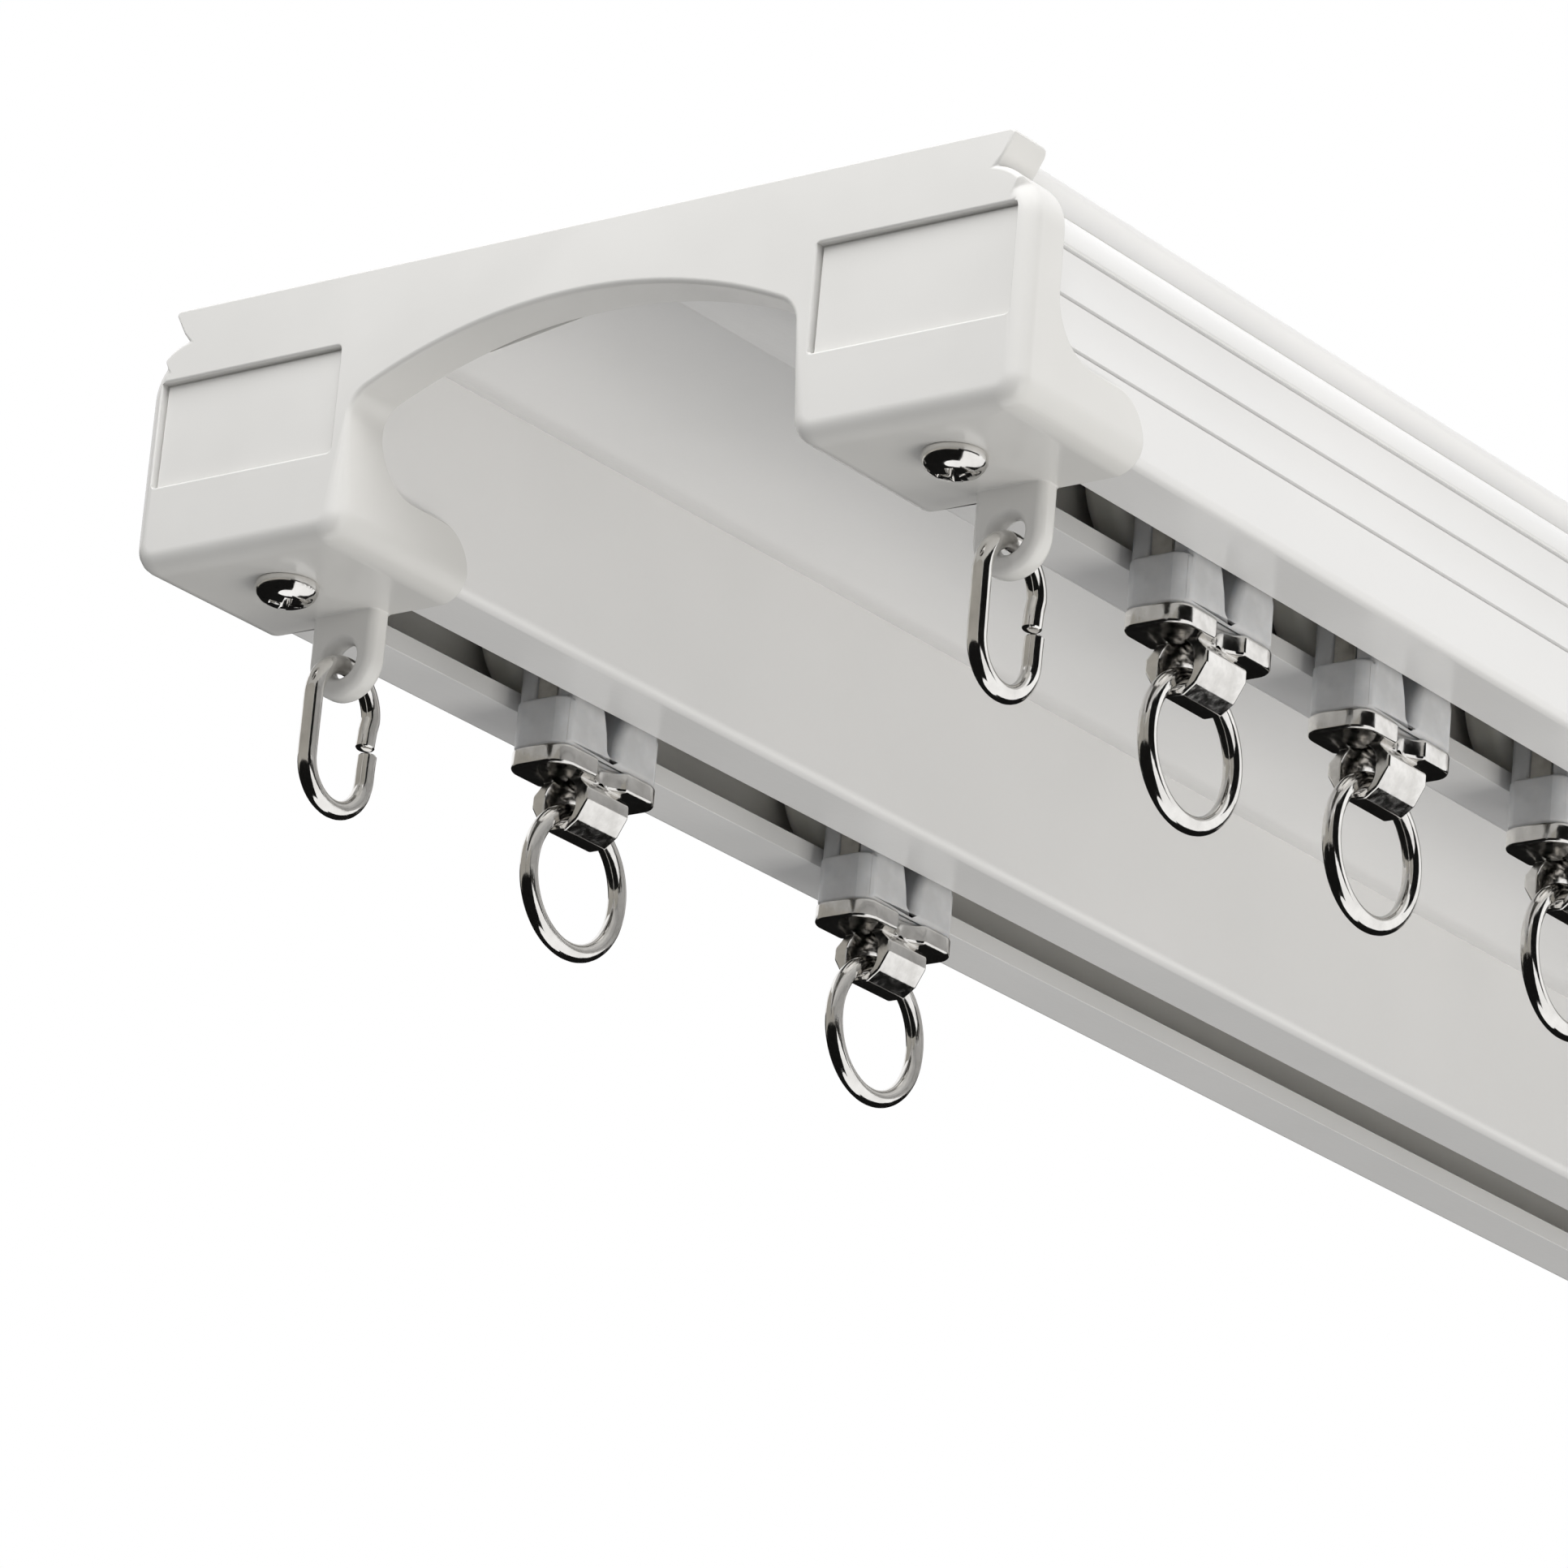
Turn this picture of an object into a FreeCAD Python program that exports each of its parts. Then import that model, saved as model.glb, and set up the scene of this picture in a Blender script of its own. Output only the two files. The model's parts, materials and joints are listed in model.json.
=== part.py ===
"""Double curtain track: a two-channel ceiling rail with end caps, split links and ball-bearing carriers.

Frame: X runs along the track, Y across it, Z up. The origin is the middle of the rail's flat ceiling face,
so the whole track hangs below Z = 0. All lengths are millimetres.
"""
import FreeCAD, Part
import math
import os
import Sketcher
from FreeCAD import Placement, Rotation, Vector

SIZES = {
    "track_length": 400.0,
    "track_width": 100.0,
    "rail_height": 24.4,
    "channel_width": 22.3,
    "channel_wall": 1.3,
    "roof_thickness": 1.6,
    "lip_thickness": 2.0,
    "slot_width": 8.1,
    "hook_height": 1.2,
    "hook_reach": 1.4,
    "hook_step": 0.2,
    "neck_depth": 4.3,
    "shoulder_radius": 4.1,
    "cove_radius": 3.4,
    "edge_round": 1.0,
    "groove_width": 0.7,
    "groove_depth": 0.45,
    "groove_pitch": 4.3,
    "lowest_groove": 6.9,
    "ceiling_bore": 4.5,
    "ceiling_bore_inset": 60.0,
    "cap_wall": 1.2,
    "cap_plate": 1.6,
    "cap_fit": 0.1,
    "cap_skirt": 5.0,
    "cap_box_depth": 18.7,
    "cap_side_height": 5.2,
    "cap_sweep_radius": 5.4,
    "cap_corner_radius": 4.2,
    "tongue_reach": 2.1,
    "tongue_height": 2.4,
    "tongue_round": 1.1,
    "arch_height": 6.7,
    "arch_radius": 58.0,
    "arch_blend": 3.0,
    "cap_edge_round": 1.6,
    "panel_width": 21.4,
    "panel_height": 10.4,
    "panel_bottom": 7.0,
    "panel_depth": 0.5,
    "tab_width": 7.6,
    "tab_thickness": 2.5,
    "tab_drop": 4.5,
    "tab_bore": 3.4,
    "screw_inset": 8.2,
    "screw_diameter": 3.0,
    "screw_head": 5.9,
    "screw_head_height": 2.1,
    "screw_head_rim": 0.7,
    "screw_tip": 1.5,
    "screw_clearance": 0.2,
    "clamp_length": 11.6,
    "clamp_width": 14.0,
    "clamp_thickness": 3.0,
    "wire_diameter": 1.8,
    "link_width": 10.0,
    "link_height": 15.6,
    "link_gap": 0.9,
    "ring_diameter": 15.5,
    "wheel_diameter": 16.0,
    "wheel_width": 4.4,
    "wheel_shoulder": 1.1,
    "running_gap": 0.05,
    "race_diameter": 9.6,
    "race_rim": 0.6,
    "race_recess": 0.4,
    "cage_recess": 0.35,
    "inner_race_diameter": 6.0,
    "inner_race_inset": 0.2,
    "boss_gap": 0.2,
    "axle_diameter": 4.2,
    "axle_tip": 0.5,
    "wheel_offset": 4.4,
    "carrier_length": 15.2,
    "carrier_thickness": 7.0,
    "carrier_base_height": 4.8,
    "carrier_waist_length": 13.2,
    "leg_gap": 0.1,
    "window_width": 4.4,
    "window_foot": 1.0,
    "hanger_drop": 4.5,
    "hanger_length": 15.8,
    "hanger_width": 7.2,
    "hanger_thickness": 2.0,
    "hanger_round": 1.7,
    "scallop_width": 4.6,
    "scallop_depth": 1.3,
    "leg_thickness": 0.8,
    "leg_width": 2.4,
    "leg_height": 13.3,
    "eye_length": 5.5,
    "eye_radius": 1.9,
    "eye_wall": 1.0,
    "eye_drop": 2.3,
    "wire_seat": 0.1,
    "front_carrier_1_station": 46.0,
    "front_carrier_2_station": 75.6,
    "front_carrier_3_station": 109.4,
    "rear_carrier_1_station": 52.8,
    "rear_carrier_2_station": 101.2,
}

CARRIERS = (("front", -1, 3), ("rear", 1, 2))
GROOVES = 3
WIRE_SIDES = 8
RING_SIDES = 16
WHEEL_SIDES = 16
PIN_SIDES = 12
QUARTER_SIDES = 3
SHOULDER_SIDES = 2
MATCH = 0.02

doc = FreeCAD.newDocument("DoubleCurtainTrack")
sheet = doc.addObject("Spreadsheet::Sheet", "Sizes")


class Dim:
    """A length that carries both its number and the sheet expression it comes from."""

    def __init__(self, value, text):
        self.value = value
        self.text = text

    def __add__(self, other):
        other = as_dim(other)
        return Dim(self.value + other.value, f"({self.text} + {other.text})")

    def __radd__(self, other):
        return as_dim(other) + self

    def __sub__(self, other):
        other = as_dim(other)
        return Dim(self.value - other.value, f"({self.text} - {other.text})")

    def __rsub__(self, other):
        return as_dim(other) - self

    def __mul__(self, other):
        other = as_dim(other)
        return Dim(self.value * other.value, f"({self.text} * {other.text})")

    def __rmul__(self, other):
        return as_dim(other) * self

    def __truediv__(self, other):
        other = as_dim(other)
        return Dim(self.value / other.value, f"({self.text} / {other.text})")

    def __neg__(self):
        return Dim(-self.value, f"(-1 * {self.text})")


def as_dim(value):
    if isinstance(value, Dim):
        return value
    return Dim(float(value), f"({float(value):.9f})")


def root(dim):
    return Dim(math.sqrt(dim.value), f"sqrt({dim.text})")


def fill_sheet():
    """Write every driving size to the sheet and return them as Dim values by name."""
    dims = {}
    for row, (name, value) in enumerate(SIZES.items(), start=1):
        sheet.set(f"A{row}", name)
        sheet.set(f"B{row}", str(value))
        sheet.setAlias(f"B{row}", name)
        dims[name] = Dim(value, f"Sizes.{name}")
    return dims


D = fill_sheet()
doc.recompute()

ZERO = as_dim(0.0)

half_length = D["track_length"] / 2
half_width = D["track_width"] / 2
rail_side = half_width - D["cap_wall"]
rail_inner = rail_side - D["channel_width"]
channel_middle = rail_side - D["channel_width"] / 2
hook_side = rail_side - D["shoulder_radius"] - D["hook_step"]
neck_side = hook_side - D["hook_reach"]
shoulder_low = D["neck_depth"] + D["shoulder_radius"]
slot_outer = channel_middle + D["slot_width"] / 2
slot_inner = channel_middle - D["slot_width"] / 2
lip_top = D["rail_height"] - D["lip_thickness"]
wire_radius = D["wire_diameter"] / 2
wheel_radius = D["wheel_diameter"] / 2
axle_height = D["lip_thickness"] + D["running_gap"] + wheel_radius
boss_face = D["wheel_offset"] - D["boss_gap"]
plate_top = -D["hanger_drop"]
plate_bottom = plate_top - D["hanger_thickness"]
eye_centre = plate_bottom - D["eye_drop"]
ring_radius = (D["ring_diameter"] - D["wire_diameter"]) / 2
ring_inside = ring_radius - wire_radius
ring_reach = ring_radius - root(ring_inside * ring_inside - D["eye_length"] * D["eye_length"] / 4)
ring_pivot = eye_centre - D["eye_radius"] + ring_reach + D["wire_seat"]
tab_bore_height = -D["cap_wall"] - D["tab_drop"]
link_radius = (D["link_width"] - D["wire_diameter"]) / 2
link_inside = link_radius - wire_radius
link_reach = link_radius - root(link_inside * link_inside - D["tab_thickness"] * D["tab_thickness"] / 4)
link_pivot = tab_bore_height - D["tab_bore"] / 2 + link_reach + D["wire_seat"]
cap_bottom = -D["rail_height"] - D["cap_wall"]
box_inner = rail_inner - D["cap_wall"] - D["cap_fit"]
arch_centre = -D["arch_height"] - D["arch_radius"]


def new_body(label):
    body = doc.addObject("PartDesign::Body", label)
    body.Label = label
    return body


def place(part, x, y, z, turn=0.0):
    """Put a sub-part at its station, with its position bound to the sheet."""
    part.Placement = Placement(Vector(x.value, y.value, z.value), Rotation(Vector(0, 0, 1), turn))
    part.setExpression("Placement.Base.x", x.text)
    part.setExpression("Placement.Base.y", y.text)
    part.setExpression("Placement.Base.z", z.text)


def origin_plane(body, role):
    return [item for item in body.Origin.OriginFeatures if item.Role == role][0]


def new_sketch(body, name, plane, offset=None):
    """Attach an empty sketch to one of the body's own origin planes."""
    sketch = body.newObject("Sketcher::SketchObject", name)
    sketch.AttachmentSupport = [(origin_plane(body, plane), "")]
    sketch.MapMode = "FlatFace"
    if offset is not None:
        sketch.AttachmentOffset = Placement(Vector(0, 0, offset.value), Rotation())
        sketch.setExpression("AttachmentOffset.Base.z", offset.text)
    return sketch


def bind(sketch, constraint, dim):
    index = sketch.addConstraint(constraint)
    sketch.setExpression(f"Constraints[{index}]", dim.text)


def pin(sketch, geometry, point, x, y):
    """Hold one point of the sketch at a bound distance from the origin along both axes."""
    for kind, dim in (("DistanceX", x), ("DistanceY", y)):
        bind(sketch, Sketcher.Constraint(kind, -1, 1, geometry, point, dim.value), dim)


def arc_about(centre, first, last):
    """The counterclockwise arc from one point to another about a centre."""
    whole = Part.Circle(centre, Vector(0, 0, 1), centre.distanceToPoint(first))
    start = math.atan2(first.y - centre.y, first.x - centre.x)
    end = math.atan2(last.y - centre.y, last.x - centre.x)
    return Part.ArcOfCircle(whole, start, end if end > start else end + 2 * math.pi)


def outline(sketch, corners, closed=True):
    """Draw edges through the corners and bind each corner to the sheet.

    A corner (x, y) starts a straight edge. A corner (x, y, height) starts an arc to the next corner, which
    is level with it, about a centre at that height.
    """
    count = len(corners)
    edges = count if closed else count - 1
    for number in range(edges):
        start, end = corners[number], corners[(number + 1) % count]
        first = Vector(start[0].value, start[1].value, 0)
        last = Vector(end[0].value, end[1].value, 0)
        edge = Part.LineSegment(first, last)
        if len(start) == 3:
            edge = arc_about(Vector((first.x + last.x) / 2, start[2].value, 0), first, last)
        geometry = sketch.addGeometry(edge, False)
        if number > 0:
            sketch.addConstraint(Sketcher.Constraint("Coincident", geometry - 1, 2, geometry, 1))
        pin(sketch, geometry, 1, start[0], start[1])
        if len(start) == 3:
            bind(sketch, Sketcher.Constraint("DistanceY", -1, 1, geometry, 3, start[2].value), start[2])
    if closed:
        sketch.addConstraint(Sketcher.Constraint("Coincident", geometry, 2, geometry - count + 1, 1))
    else:
        pin(sketch, geometry, 2, corners[-1][0], corners[-1][1])


def mirrored(half):
    """Close a half outline, given for +x from the axis outward and back, with its mirror image."""
    return half + [(-x, y) for x, y in reversed(half)]


def turn_corners(x, y, radius, first, last, sides):
    """Corner points along an arc, in equal steps from one angle in degrees to another."""
    points = []
    for number in range(sides + 1):
        angle = math.radians(first + (last - first) * number / sides)
        points.append((x + radius * math.cos(angle), y + radius * math.sin(angle)))
    return points


def round_end(x, y, radius, first):
    """Corners of a half round from an angle in degrees: an arc over its middle and flats at its shoulders."""
    near_side = turn_corners(x, y, radius, first, first + 45, SHOULDER_SIDES)
    near_side[-1] += (y,)
    return near_side + turn_corners(x, y, radius, first + 135, first + 180, SHOULDER_SIDES)


def lean(dim, radius):
    """The angle in degrees at which a circle of that radius is so far from its upright axis."""
    return math.degrees(math.acos(dim.value / radius.value))


def polygon(sketch, x, y, radius, sides):
    """A many-sided round with its corners on the radius and a flat towards each axis."""
    half_step = 180 / sides
    corners = turn_corners(x, y, radius, half_step, 360 + half_step, sides)
    outline(sketch, corners[:-1])


def circle(sketch, x, y, diameter):
    """Draw a circle of bound diameter about a bound centre."""
    shape = Part.Circle(Vector(x.value, y.value, 0), Vector(0, 0, 1), diameter.value / 2)
    geometry = sketch.addGeometry(shape, False)
    pin(sketch, geometry, 3, x, y)
    bind(sketch, Sketcher.Constraint("Diameter", geometry, diameter.value), diameter)


def rectangle(sketch, low_x, low_y, high_x, high_y):
    outline(sketch, [(low_x, low_y), (high_x, low_y), (high_x, high_y), (low_x, high_y)])


def pad(body, sketch, length, both_ways=False, reverse=False):
    feature = body.newObject("PartDesign::Pad", sketch.Name + "Pad")
    feature.Profile = sketch
    feature.Length = length.value
    feature.setExpression("Length", length.text)
    feature.Midplane = both_ways
    feature.Reversed = reverse
    sketch.Visibility = False
    return feature


def pocket(body, sketch, length=None, both_ways=False, reverse=False):
    """Cut a sketch into the body, through everything when no length is given, and prove that it cut."""
    feature = body.newObject("PartDesign::Pocket", sketch.Name + "Pocket")
    feature.Profile = sketch
    if length is None:
        feature.Type = "ThroughAll"
    else:
        feature.Length = length.value
        feature.setExpression("Length", length.text)
    feature.Midplane = both_ways
    feature.Reversed = reverse
    doc.recompute()
    if feature.Shape.Volume > feature.BaseFeature.Shape.Volume - 1e-6:
        raise RuntimeError(f"{feature.Name} removes nothing")
    return feature


def wire_along(body, name, path, edges, section):
    """Sweep the wire's section along a path of straight sides with mitred corners."""
    feature = body.newObject("PartDesign::AdditivePipe", name)
    feature.Profile = section
    feature.Spine = (path, [f"Edge{number}" for number in range(1, edges + 1)])
    feature.Transition = "Right corner"
    return feature


def edges_where(feature, test):
    """Name the feature's edges whose middle point passes the test."""
    names = []
    for number, edge in enumerate(feature.Shape.Edges, start=1):
        middle = edge.valueAt((edge.FirstParameter + edge.LastParameter) / 2)
        if test(edge, middle):
            names.append(f"Edge{number}")
    return names


def chamfer(body, base, size, test):
    """Bevel the edges of a feature that pass the test."""
    doc.recompute()
    feature = body.newObject("PartDesign::Chamfer", base.Name + "Bevel")
    feature.Base = (base, edges_where(base, test))
    feature.Size = size.value
    feature.setExpression("Size", size.text)
    return feature


def near(value, dim):
    return abs(value - dim.value) < MATCH


def make_rail():
    """The one-piece extrusion: two slotted channels, a web between them and a hook along each edge."""
    body = new_body("rail")
    wall = D["channel_wall"]
    bend = rail_side - D["shoulder_radius"]
    outside = -shoulder_low
    inside = D["shoulder_radius"] - wall
    floor = -D["rail_height"]
    roof = -D["roof_thickness"]
    ease = D["edge_round"]
    cove = D["cove_radius"]
    sides = 2 * QUARTER_SIDES
    half = [
        (hook_side, ZERO),
        (hook_side, -D["hook_height"]),
        (neck_side, -D["hook_height"]),
        (neck_side, -D["neck_depth"]),
    ]
    half += turn_corners(bend, outside, D["shoulder_radius"], 90, 0, sides)
    half += turn_corners(rail_side - ease, floor + ease, ease, 0, -90, QUARTER_SIDES)
    half += [(slot_outer, floor), (slot_outer, -lip_top), (rail_side - wall, -lip_top)]
    half += turn_corners(bend, outside, inside, 0, 90, sides)
    half += [
        (neck_side - wall, outside + inside),
        (neck_side - wall, roof),
        (rail_inner + wall, roof),
        (rail_inner + wall, -lip_top),
        (slot_inner, -lip_top),
        (slot_inner, floor),
    ]
    half += turn_corners(rail_inner + ease, floor + ease, ease, 270, 180, QUARTER_SIDES)
    half += turn_corners(rail_inner - cove, roof - cove, cove, 0, 90, sides)
    section = new_sketch(body, "RailSection", "YZ_Plane")
    outline(section, mirrored(half))
    rail_length = D["track_length"] - 2 * D["cap_plate"]
    solid = pad(body, section, rail_length, both_ways=True)

    groove = new_sketch(body, "RailGroove", "YZ_Plane")
    height = floor + D["lowest_groove"]
    for side in (1, -1):
        outline(groove, [
            (side * rail_side, height - D["groove_width"] / 2),
            (side * (rail_side - D["groove_depth"]), height),
            (side * rail_side, height + D["groove_width"] / 2),
        ])
    cut = pocket(body, groove, rail_length, both_ways=True)
    pattern = body.newObject("PartDesign::LinearPattern", "RailGroovePattern")
    pattern.Originals = [cut]
    pattern.Direction = (groove, ["V_Axis"])
    spread = (GROOVES - 1) * D["groove_pitch"]
    pattern.Occurrences = GROOVES
    pattern.Length = spread.value
    pattern.setExpression("Length", spread.text)
    body.Tip = pattern

    line = new_sketch(body, "RailCentreLine", "YZ_Plane")
    half_groove = D["groove_width"] / 2
    outline(line, [(-half_groove, roof), (half_groove, roof), (ZERO, roof + D["groove_depth"])])
    pocket(body, line, rail_length, both_ways=True)

    bores = new_sketch(body, "RailCeilingBores", "XY_Plane")
    for end in (1, -1):
        for side in (1, -1):
            along = end * (half_length - D["ceiling_bore_inset"])
            circle(bores, along, side * channel_middle, D["ceiling_bore"])
    pocket(body, bores, D["roof_thickness"])

    return body


def box_foot(side):
    """The bottom of a channel box, from its outer side to its inner side, with both corners rounded."""
    curve = D["cap_edge_round"]
    low = cap_bottom + curve
    points = turn_corners(half_width - curve, low, curve, 0, -90, QUARTER_SIDES)
    points += turn_corners(box_inner + curve, low, curve, -90, -180, QUARTER_SIDES)
    return [(side * point[0], point[1]) for point in points]


def cap_outline():
    """Half of the cap's front outline: tongue, shoulder, channel box and the arch between the boxes."""
    tongue = hook_side + D["tongue_reach"]
    bend = rail_side - D["shoulder_radius"]
    sweep = half_width - bend
    notch = hook_side + D["cap_wall"] + D["cap_fit"]
    blend = D["arch_blend"]
    swing = D["arch_radius"] - blend
    side = box_inner - blend
    start = lean(side, swing)
    ease = D["tongue_round"]
    outer = turn_corners(tongue - ease, -ease, ease, 90, 0, QUARTER_SIDES)
    outer.append((tongue, -D["tongue_height"]))
    outer += turn_corners(bend, -shoulder_low, sweep, lean(notch - bend, sweep), 0, 2 * QUARTER_SIDES)
    rise = arch_centre + root(swing * swing - side * side)
    inner = turn_corners(side, rise, blend, 0, start, QUARTER_SIDES)[:-1]
    inner += turn_corners(ZERO, arch_centre, D["arch_radius"], start, 90, 2 * QUARTER_SIDES)[:-1]
    return outer + box_foot(1) + inner


def cap_cavity(body):
    """The space inside the cap that takes the rail's end and clears the web above the arch wall."""
    bend = rail_side - D["shoulder_radius"]
    fit = D["cap_fit"]
    inner = rail_inner - fit
    swing = D["shoulder_radius"] + fit
    start = lean(hook_side + fit - bend, swing)
    roof = D["arch_radius"] + D["cap_wall"]
    half = [(hook_side + fit, D["cap_wall"])]
    half += turn_corners(bend, -shoulder_low, swing, start, 0, 2 * QUARTER_SIDES)
    half += [(rail_side + fit, -D["rail_height"]), (inner, -D["rail_height"])]
    half += turn_corners(ZERO, arch_centre, roof, lean(inner, roof), 90, 2 * QUARTER_SIDES)[:-1]
    sketch = new_sketch(body, "CapCavity", "YZ_Plane", D["cap_plate"])
    outline(sketch, mirrored(half))
    return sketch


def make_cap(label, end):
    """An end cap: arched front plate, skirt, two deep channel boxes, panels, screw bores and link tabs."""
    body = new_body(label)
    depth = D["cap_box_depth"]

    front = new_sketch(body, "CapFront", "YZ_Plane")
    outline(front, mirrored(cap_outline()))
    pad(body, front, D["cap_skirt"])

    boxes = new_sketch(body, "CapBoxes", "YZ_Plane")
    top = cap_bottom + D["cap_wall"] + D["cap_side_height"] + D["cap_sweep_radius"]
    for side in (1, -1):
        outline(boxes, [(side * half_width, top)] + box_foot(side) + [(side * box_inner, top)])
    pad(body, boxes, depth)

    pocket(body, cap_cavity(body), depth, reverse=True)

    sweep = D["cap_sweep_radius"]
    corner = D["cap_corner_radius"]
    skirt = D["cap_skirt"]
    rise = cap_bottom + D["cap_wall"] + D["cap_side_height"]
    past = depth + D["cap_wall"]
    side_cut = new_sketch(body, "CapSideSweep", "XZ_Plane")
    outline(
        side_cut,
        [(skirt, ZERO)]
        + turn_corners(skirt + sweep, rise + sweep, sweep, 180, 270, 2 * QUARTER_SIDES)
        + turn_corners(depth - corner, rise - corner, corner, 90, 0, 2 * QUARTER_SIDES)
        + [(past, rise - corner), (past, ZERO)],
    )
    pocket(body, side_cut, D["track_width"] + 2 * D["cap_wall"], both_ways=True)

    panels = new_sketch(body, "CapPanels", "YZ_Plane")
    low = -D["rail_height"] + D["panel_bottom"]
    for side in (1, -1):
        rectangle(panels, side * channel_middle - D["panel_width"] / 2, low,
                  side * channel_middle + D["panel_width"] / 2, low + D["panel_height"])
    pocket(body, panels, D["panel_depth"], reverse=True)

    tabs = new_sketch(body, "CapTabs", "YZ_Plane", depth - D["tab_thickness"])
    hole = -D["rail_height"] + tab_bore_height
    reach = D["tab_width"] / 2
    for side in (1, -1):
        middle = side * channel_middle
        inside = cap_bottom + D["cap_wall"] / 2
        foot = round_end(middle, hole, reach, 180)
        outline(tabs, [(middle - reach, inside)] + foot + [(middle + reach, inside)])
    pad(body, tabs, D["tab_thickness"])

    eyes = new_sketch(body, "CapTabBores", "YZ_Plane", depth - D["tab_thickness"])
    for side in (1, -1):
        polygon(eyes, side * channel_middle, hole, D["tab_bore"] / 2, PIN_SIDES)
    pocket(body, eyes, D["tab_thickness"], reverse=True)

    screws = new_sketch(body, "CapScrewBores", "XY_Plane", cap_bottom)
    for side in (1, -1):
        polygon(screws, D["screw_inset"], side * channel_middle,
                (D["screw_diameter"] + D["screw_clearance"]) / 2, PIN_SIDES)
    pocket(body, screws, D["cap_wall"], reverse=True)
    place(body, end * half_length, ZERO, ZERO, 0.0 if end < 0 else 180.0)
    return body


def group(label, members):
    """Put identical separate pieces in one node."""
    compound = doc.addObject("Part::Compound", label)
    compound.Label = label
    compound.Links = members
    return compound


def make_cap_screw(name, end, side):
    """A pan-head screw that comes up through the cap's floor and the slot into its clamp plate."""
    body = new_body(name)
    height = D["screw_head_height"]
    disc = new_sketch(body, "ScrewHead", "XY_Plane")
    polygon(disc, ZERO, ZERO, D["screw_head"] / 2, PIN_SIDES)
    head = pad(body, disc, height, reverse=True)

    def crown_edge(edge, point):
        return near(point.z, -height)

    chamfer(body, head, height - D["screw_head_rim"], crown_edge)
    shank = new_sketch(body, "ScrewShank", "XY_Plane")
    polygon(shank, ZERO, ZERO, D["screw_diameter"] / 2, PIN_SIDES)
    pad(body, shank, D["cap_wall"] + D["lip_thickness"] + D["clamp_thickness"] + D["screw_tip"])
    along = end * (half_length - D["screw_inset"])
    place(body, along, side * channel_middle, -D["rail_height"] - D["cap_wall"])
    return body


def make_clamp_plate(name, end, side):
    """A tapped plate inside the channel that the cap screw pulls down onto both lips."""
    body = new_body(name)
    plate = new_sketch(body, "ClampPlate", "XY_Plane")
    length = D["clamp_length"] / 2
    width = D["clamp_width"] / 2
    rectangle(plate, -length, -width, length, width)
    pad(body, plate, D["clamp_thickness"])
    bore = new_sketch(body, "ClampBore", "XY_Plane")
    polygon(bore, ZERO, ZERO, D["screw_diameter"] / 2, PIN_SIDES)
    pocket(body, bore, D["clamp_thickness"], reverse=True)
    place(body, end * (half_length - D["screw_inset"]), side * channel_middle, -lip_top)
    return body


def wire_section(sketch, x, y):
    """The wire's section, with its flats at the wire's true diameter."""
    reach = wire_radius / math.cos(math.pi / WIRE_SIDES)
    polygon(sketch, x, y, reach, WIRE_SIDES)


def make_split_link(label, end, side):
    """An oval split link that hangs in a cap tab, open for a short gap on its outward side."""
    body = new_body(label)
    upper = -link_radius
    lower = upper - (D["link_height"] - D["link_width"])
    gap_high = (upper + lower) / 2
    gap_low = gap_high - D["link_gap"]
    corners = [(link_radius, gap_high)]
    corners += turn_corners(ZERO, upper, link_radius, 0, 180, RING_SIDES // 2)
    corners += turn_corners(ZERO, lower, link_radius, 180, 360, RING_SIDES // 2)
    corners.append((link_radius, gap_low))
    path = new_sketch(body, "LinkPath", "XZ_Plane")
    outline(path, corners, closed=False)
    section = new_sketch(body, "LinkSection", "XY_Plane", gap_high)
    wire_section(section, link_radius, ZERO)
    wire_along(body, "LinkWire", path, len(corners) - 1, section)
    tab_middle = D["cap_box_depth"] - D["tab_thickness"] / 2
    place(body, end * (half_length - tab_middle), side * channel_middle, link_pivot - D["rail_height"],
          0.0 if end < 0 else 180.0)
    return body


def make_carrier_body(label):
    """The nylon carrier: base block under the slot, waist through it, window, leg slots and axle bosses."""
    body = new_body(label)
    base_top = plate_top + D["carrier_base_height"]
    half_base = D["carrier_length"] / 2
    half_waist = D["carrier_waist_length"] / 2
    side = new_sketch(body, "CarrierSide", "XZ_Plane")
    outline(side, [
        (-half_waist, base_top),
        (-half_base, base_top),
        (-half_base, plate_top),
        (half_base, plate_top),
        (half_base, base_top),
        (half_waist, base_top),
    ] + round_end(ZERO, axle_height, half_waist, 0))
    pad(body, side, D["carrier_thickness"], both_ways=True)

    boss = new_sketch(body, "CarrierBosses", "XZ_Plane")
    polygon(boss, ZERO, axle_height, D["inner_race_diameter"] / 2, WHEEL_SIDES)
    pad(body, boss, 2 * boss_face, both_ways=True)

    window = new_sketch(body, "CarrierWindow", "XZ_Plane")
    half_window = D["window_width"] / 2
    half_foot = D["window_foot"] / 2
    foot = plate_top + D["window_foot"]
    crown = axle_height - D["inner_race_diameter"] / 2 - D["window_foot"]
    outline(window, [
        (-half_foot, foot + half_foot),
        (ZERO, foot),
        (half_foot, foot + half_foot),
    ] + turn_corners(ZERO, crown - half_window, half_window, 0, 180, 2 * QUARTER_SIDES))
    pocket(body, window, D["carrier_thickness"], both_ways=True)

    legs = new_sketch(body, "CarrierLegSlots", "XY_Plane", plate_top)
    inner_leg = half_waist - D["leg_gap"] - D["leg_thickness"]
    for end in (1, -1):
        rectangle(legs, end * (inner_leg - D["running_gap"]), -D["leg_width"] / 2 - D["running_gap"],
                  end * (half_waist + D["running_gap"]), D["leg_width"] / 2 + D["running_gap"])
    pocket(body, legs, D["leg_height"] + D["leg_gap"], reverse=True)

    bore = new_sketch(body, "CarrierAxleBore", "XZ_Plane")
    polygon(bore, ZERO, axle_height, D["axle_diameter"] / 2, PIN_SIDES)
    pocket(body, bore, 2 * D["wheel_offset"], both_ways=True)
    return body


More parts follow.
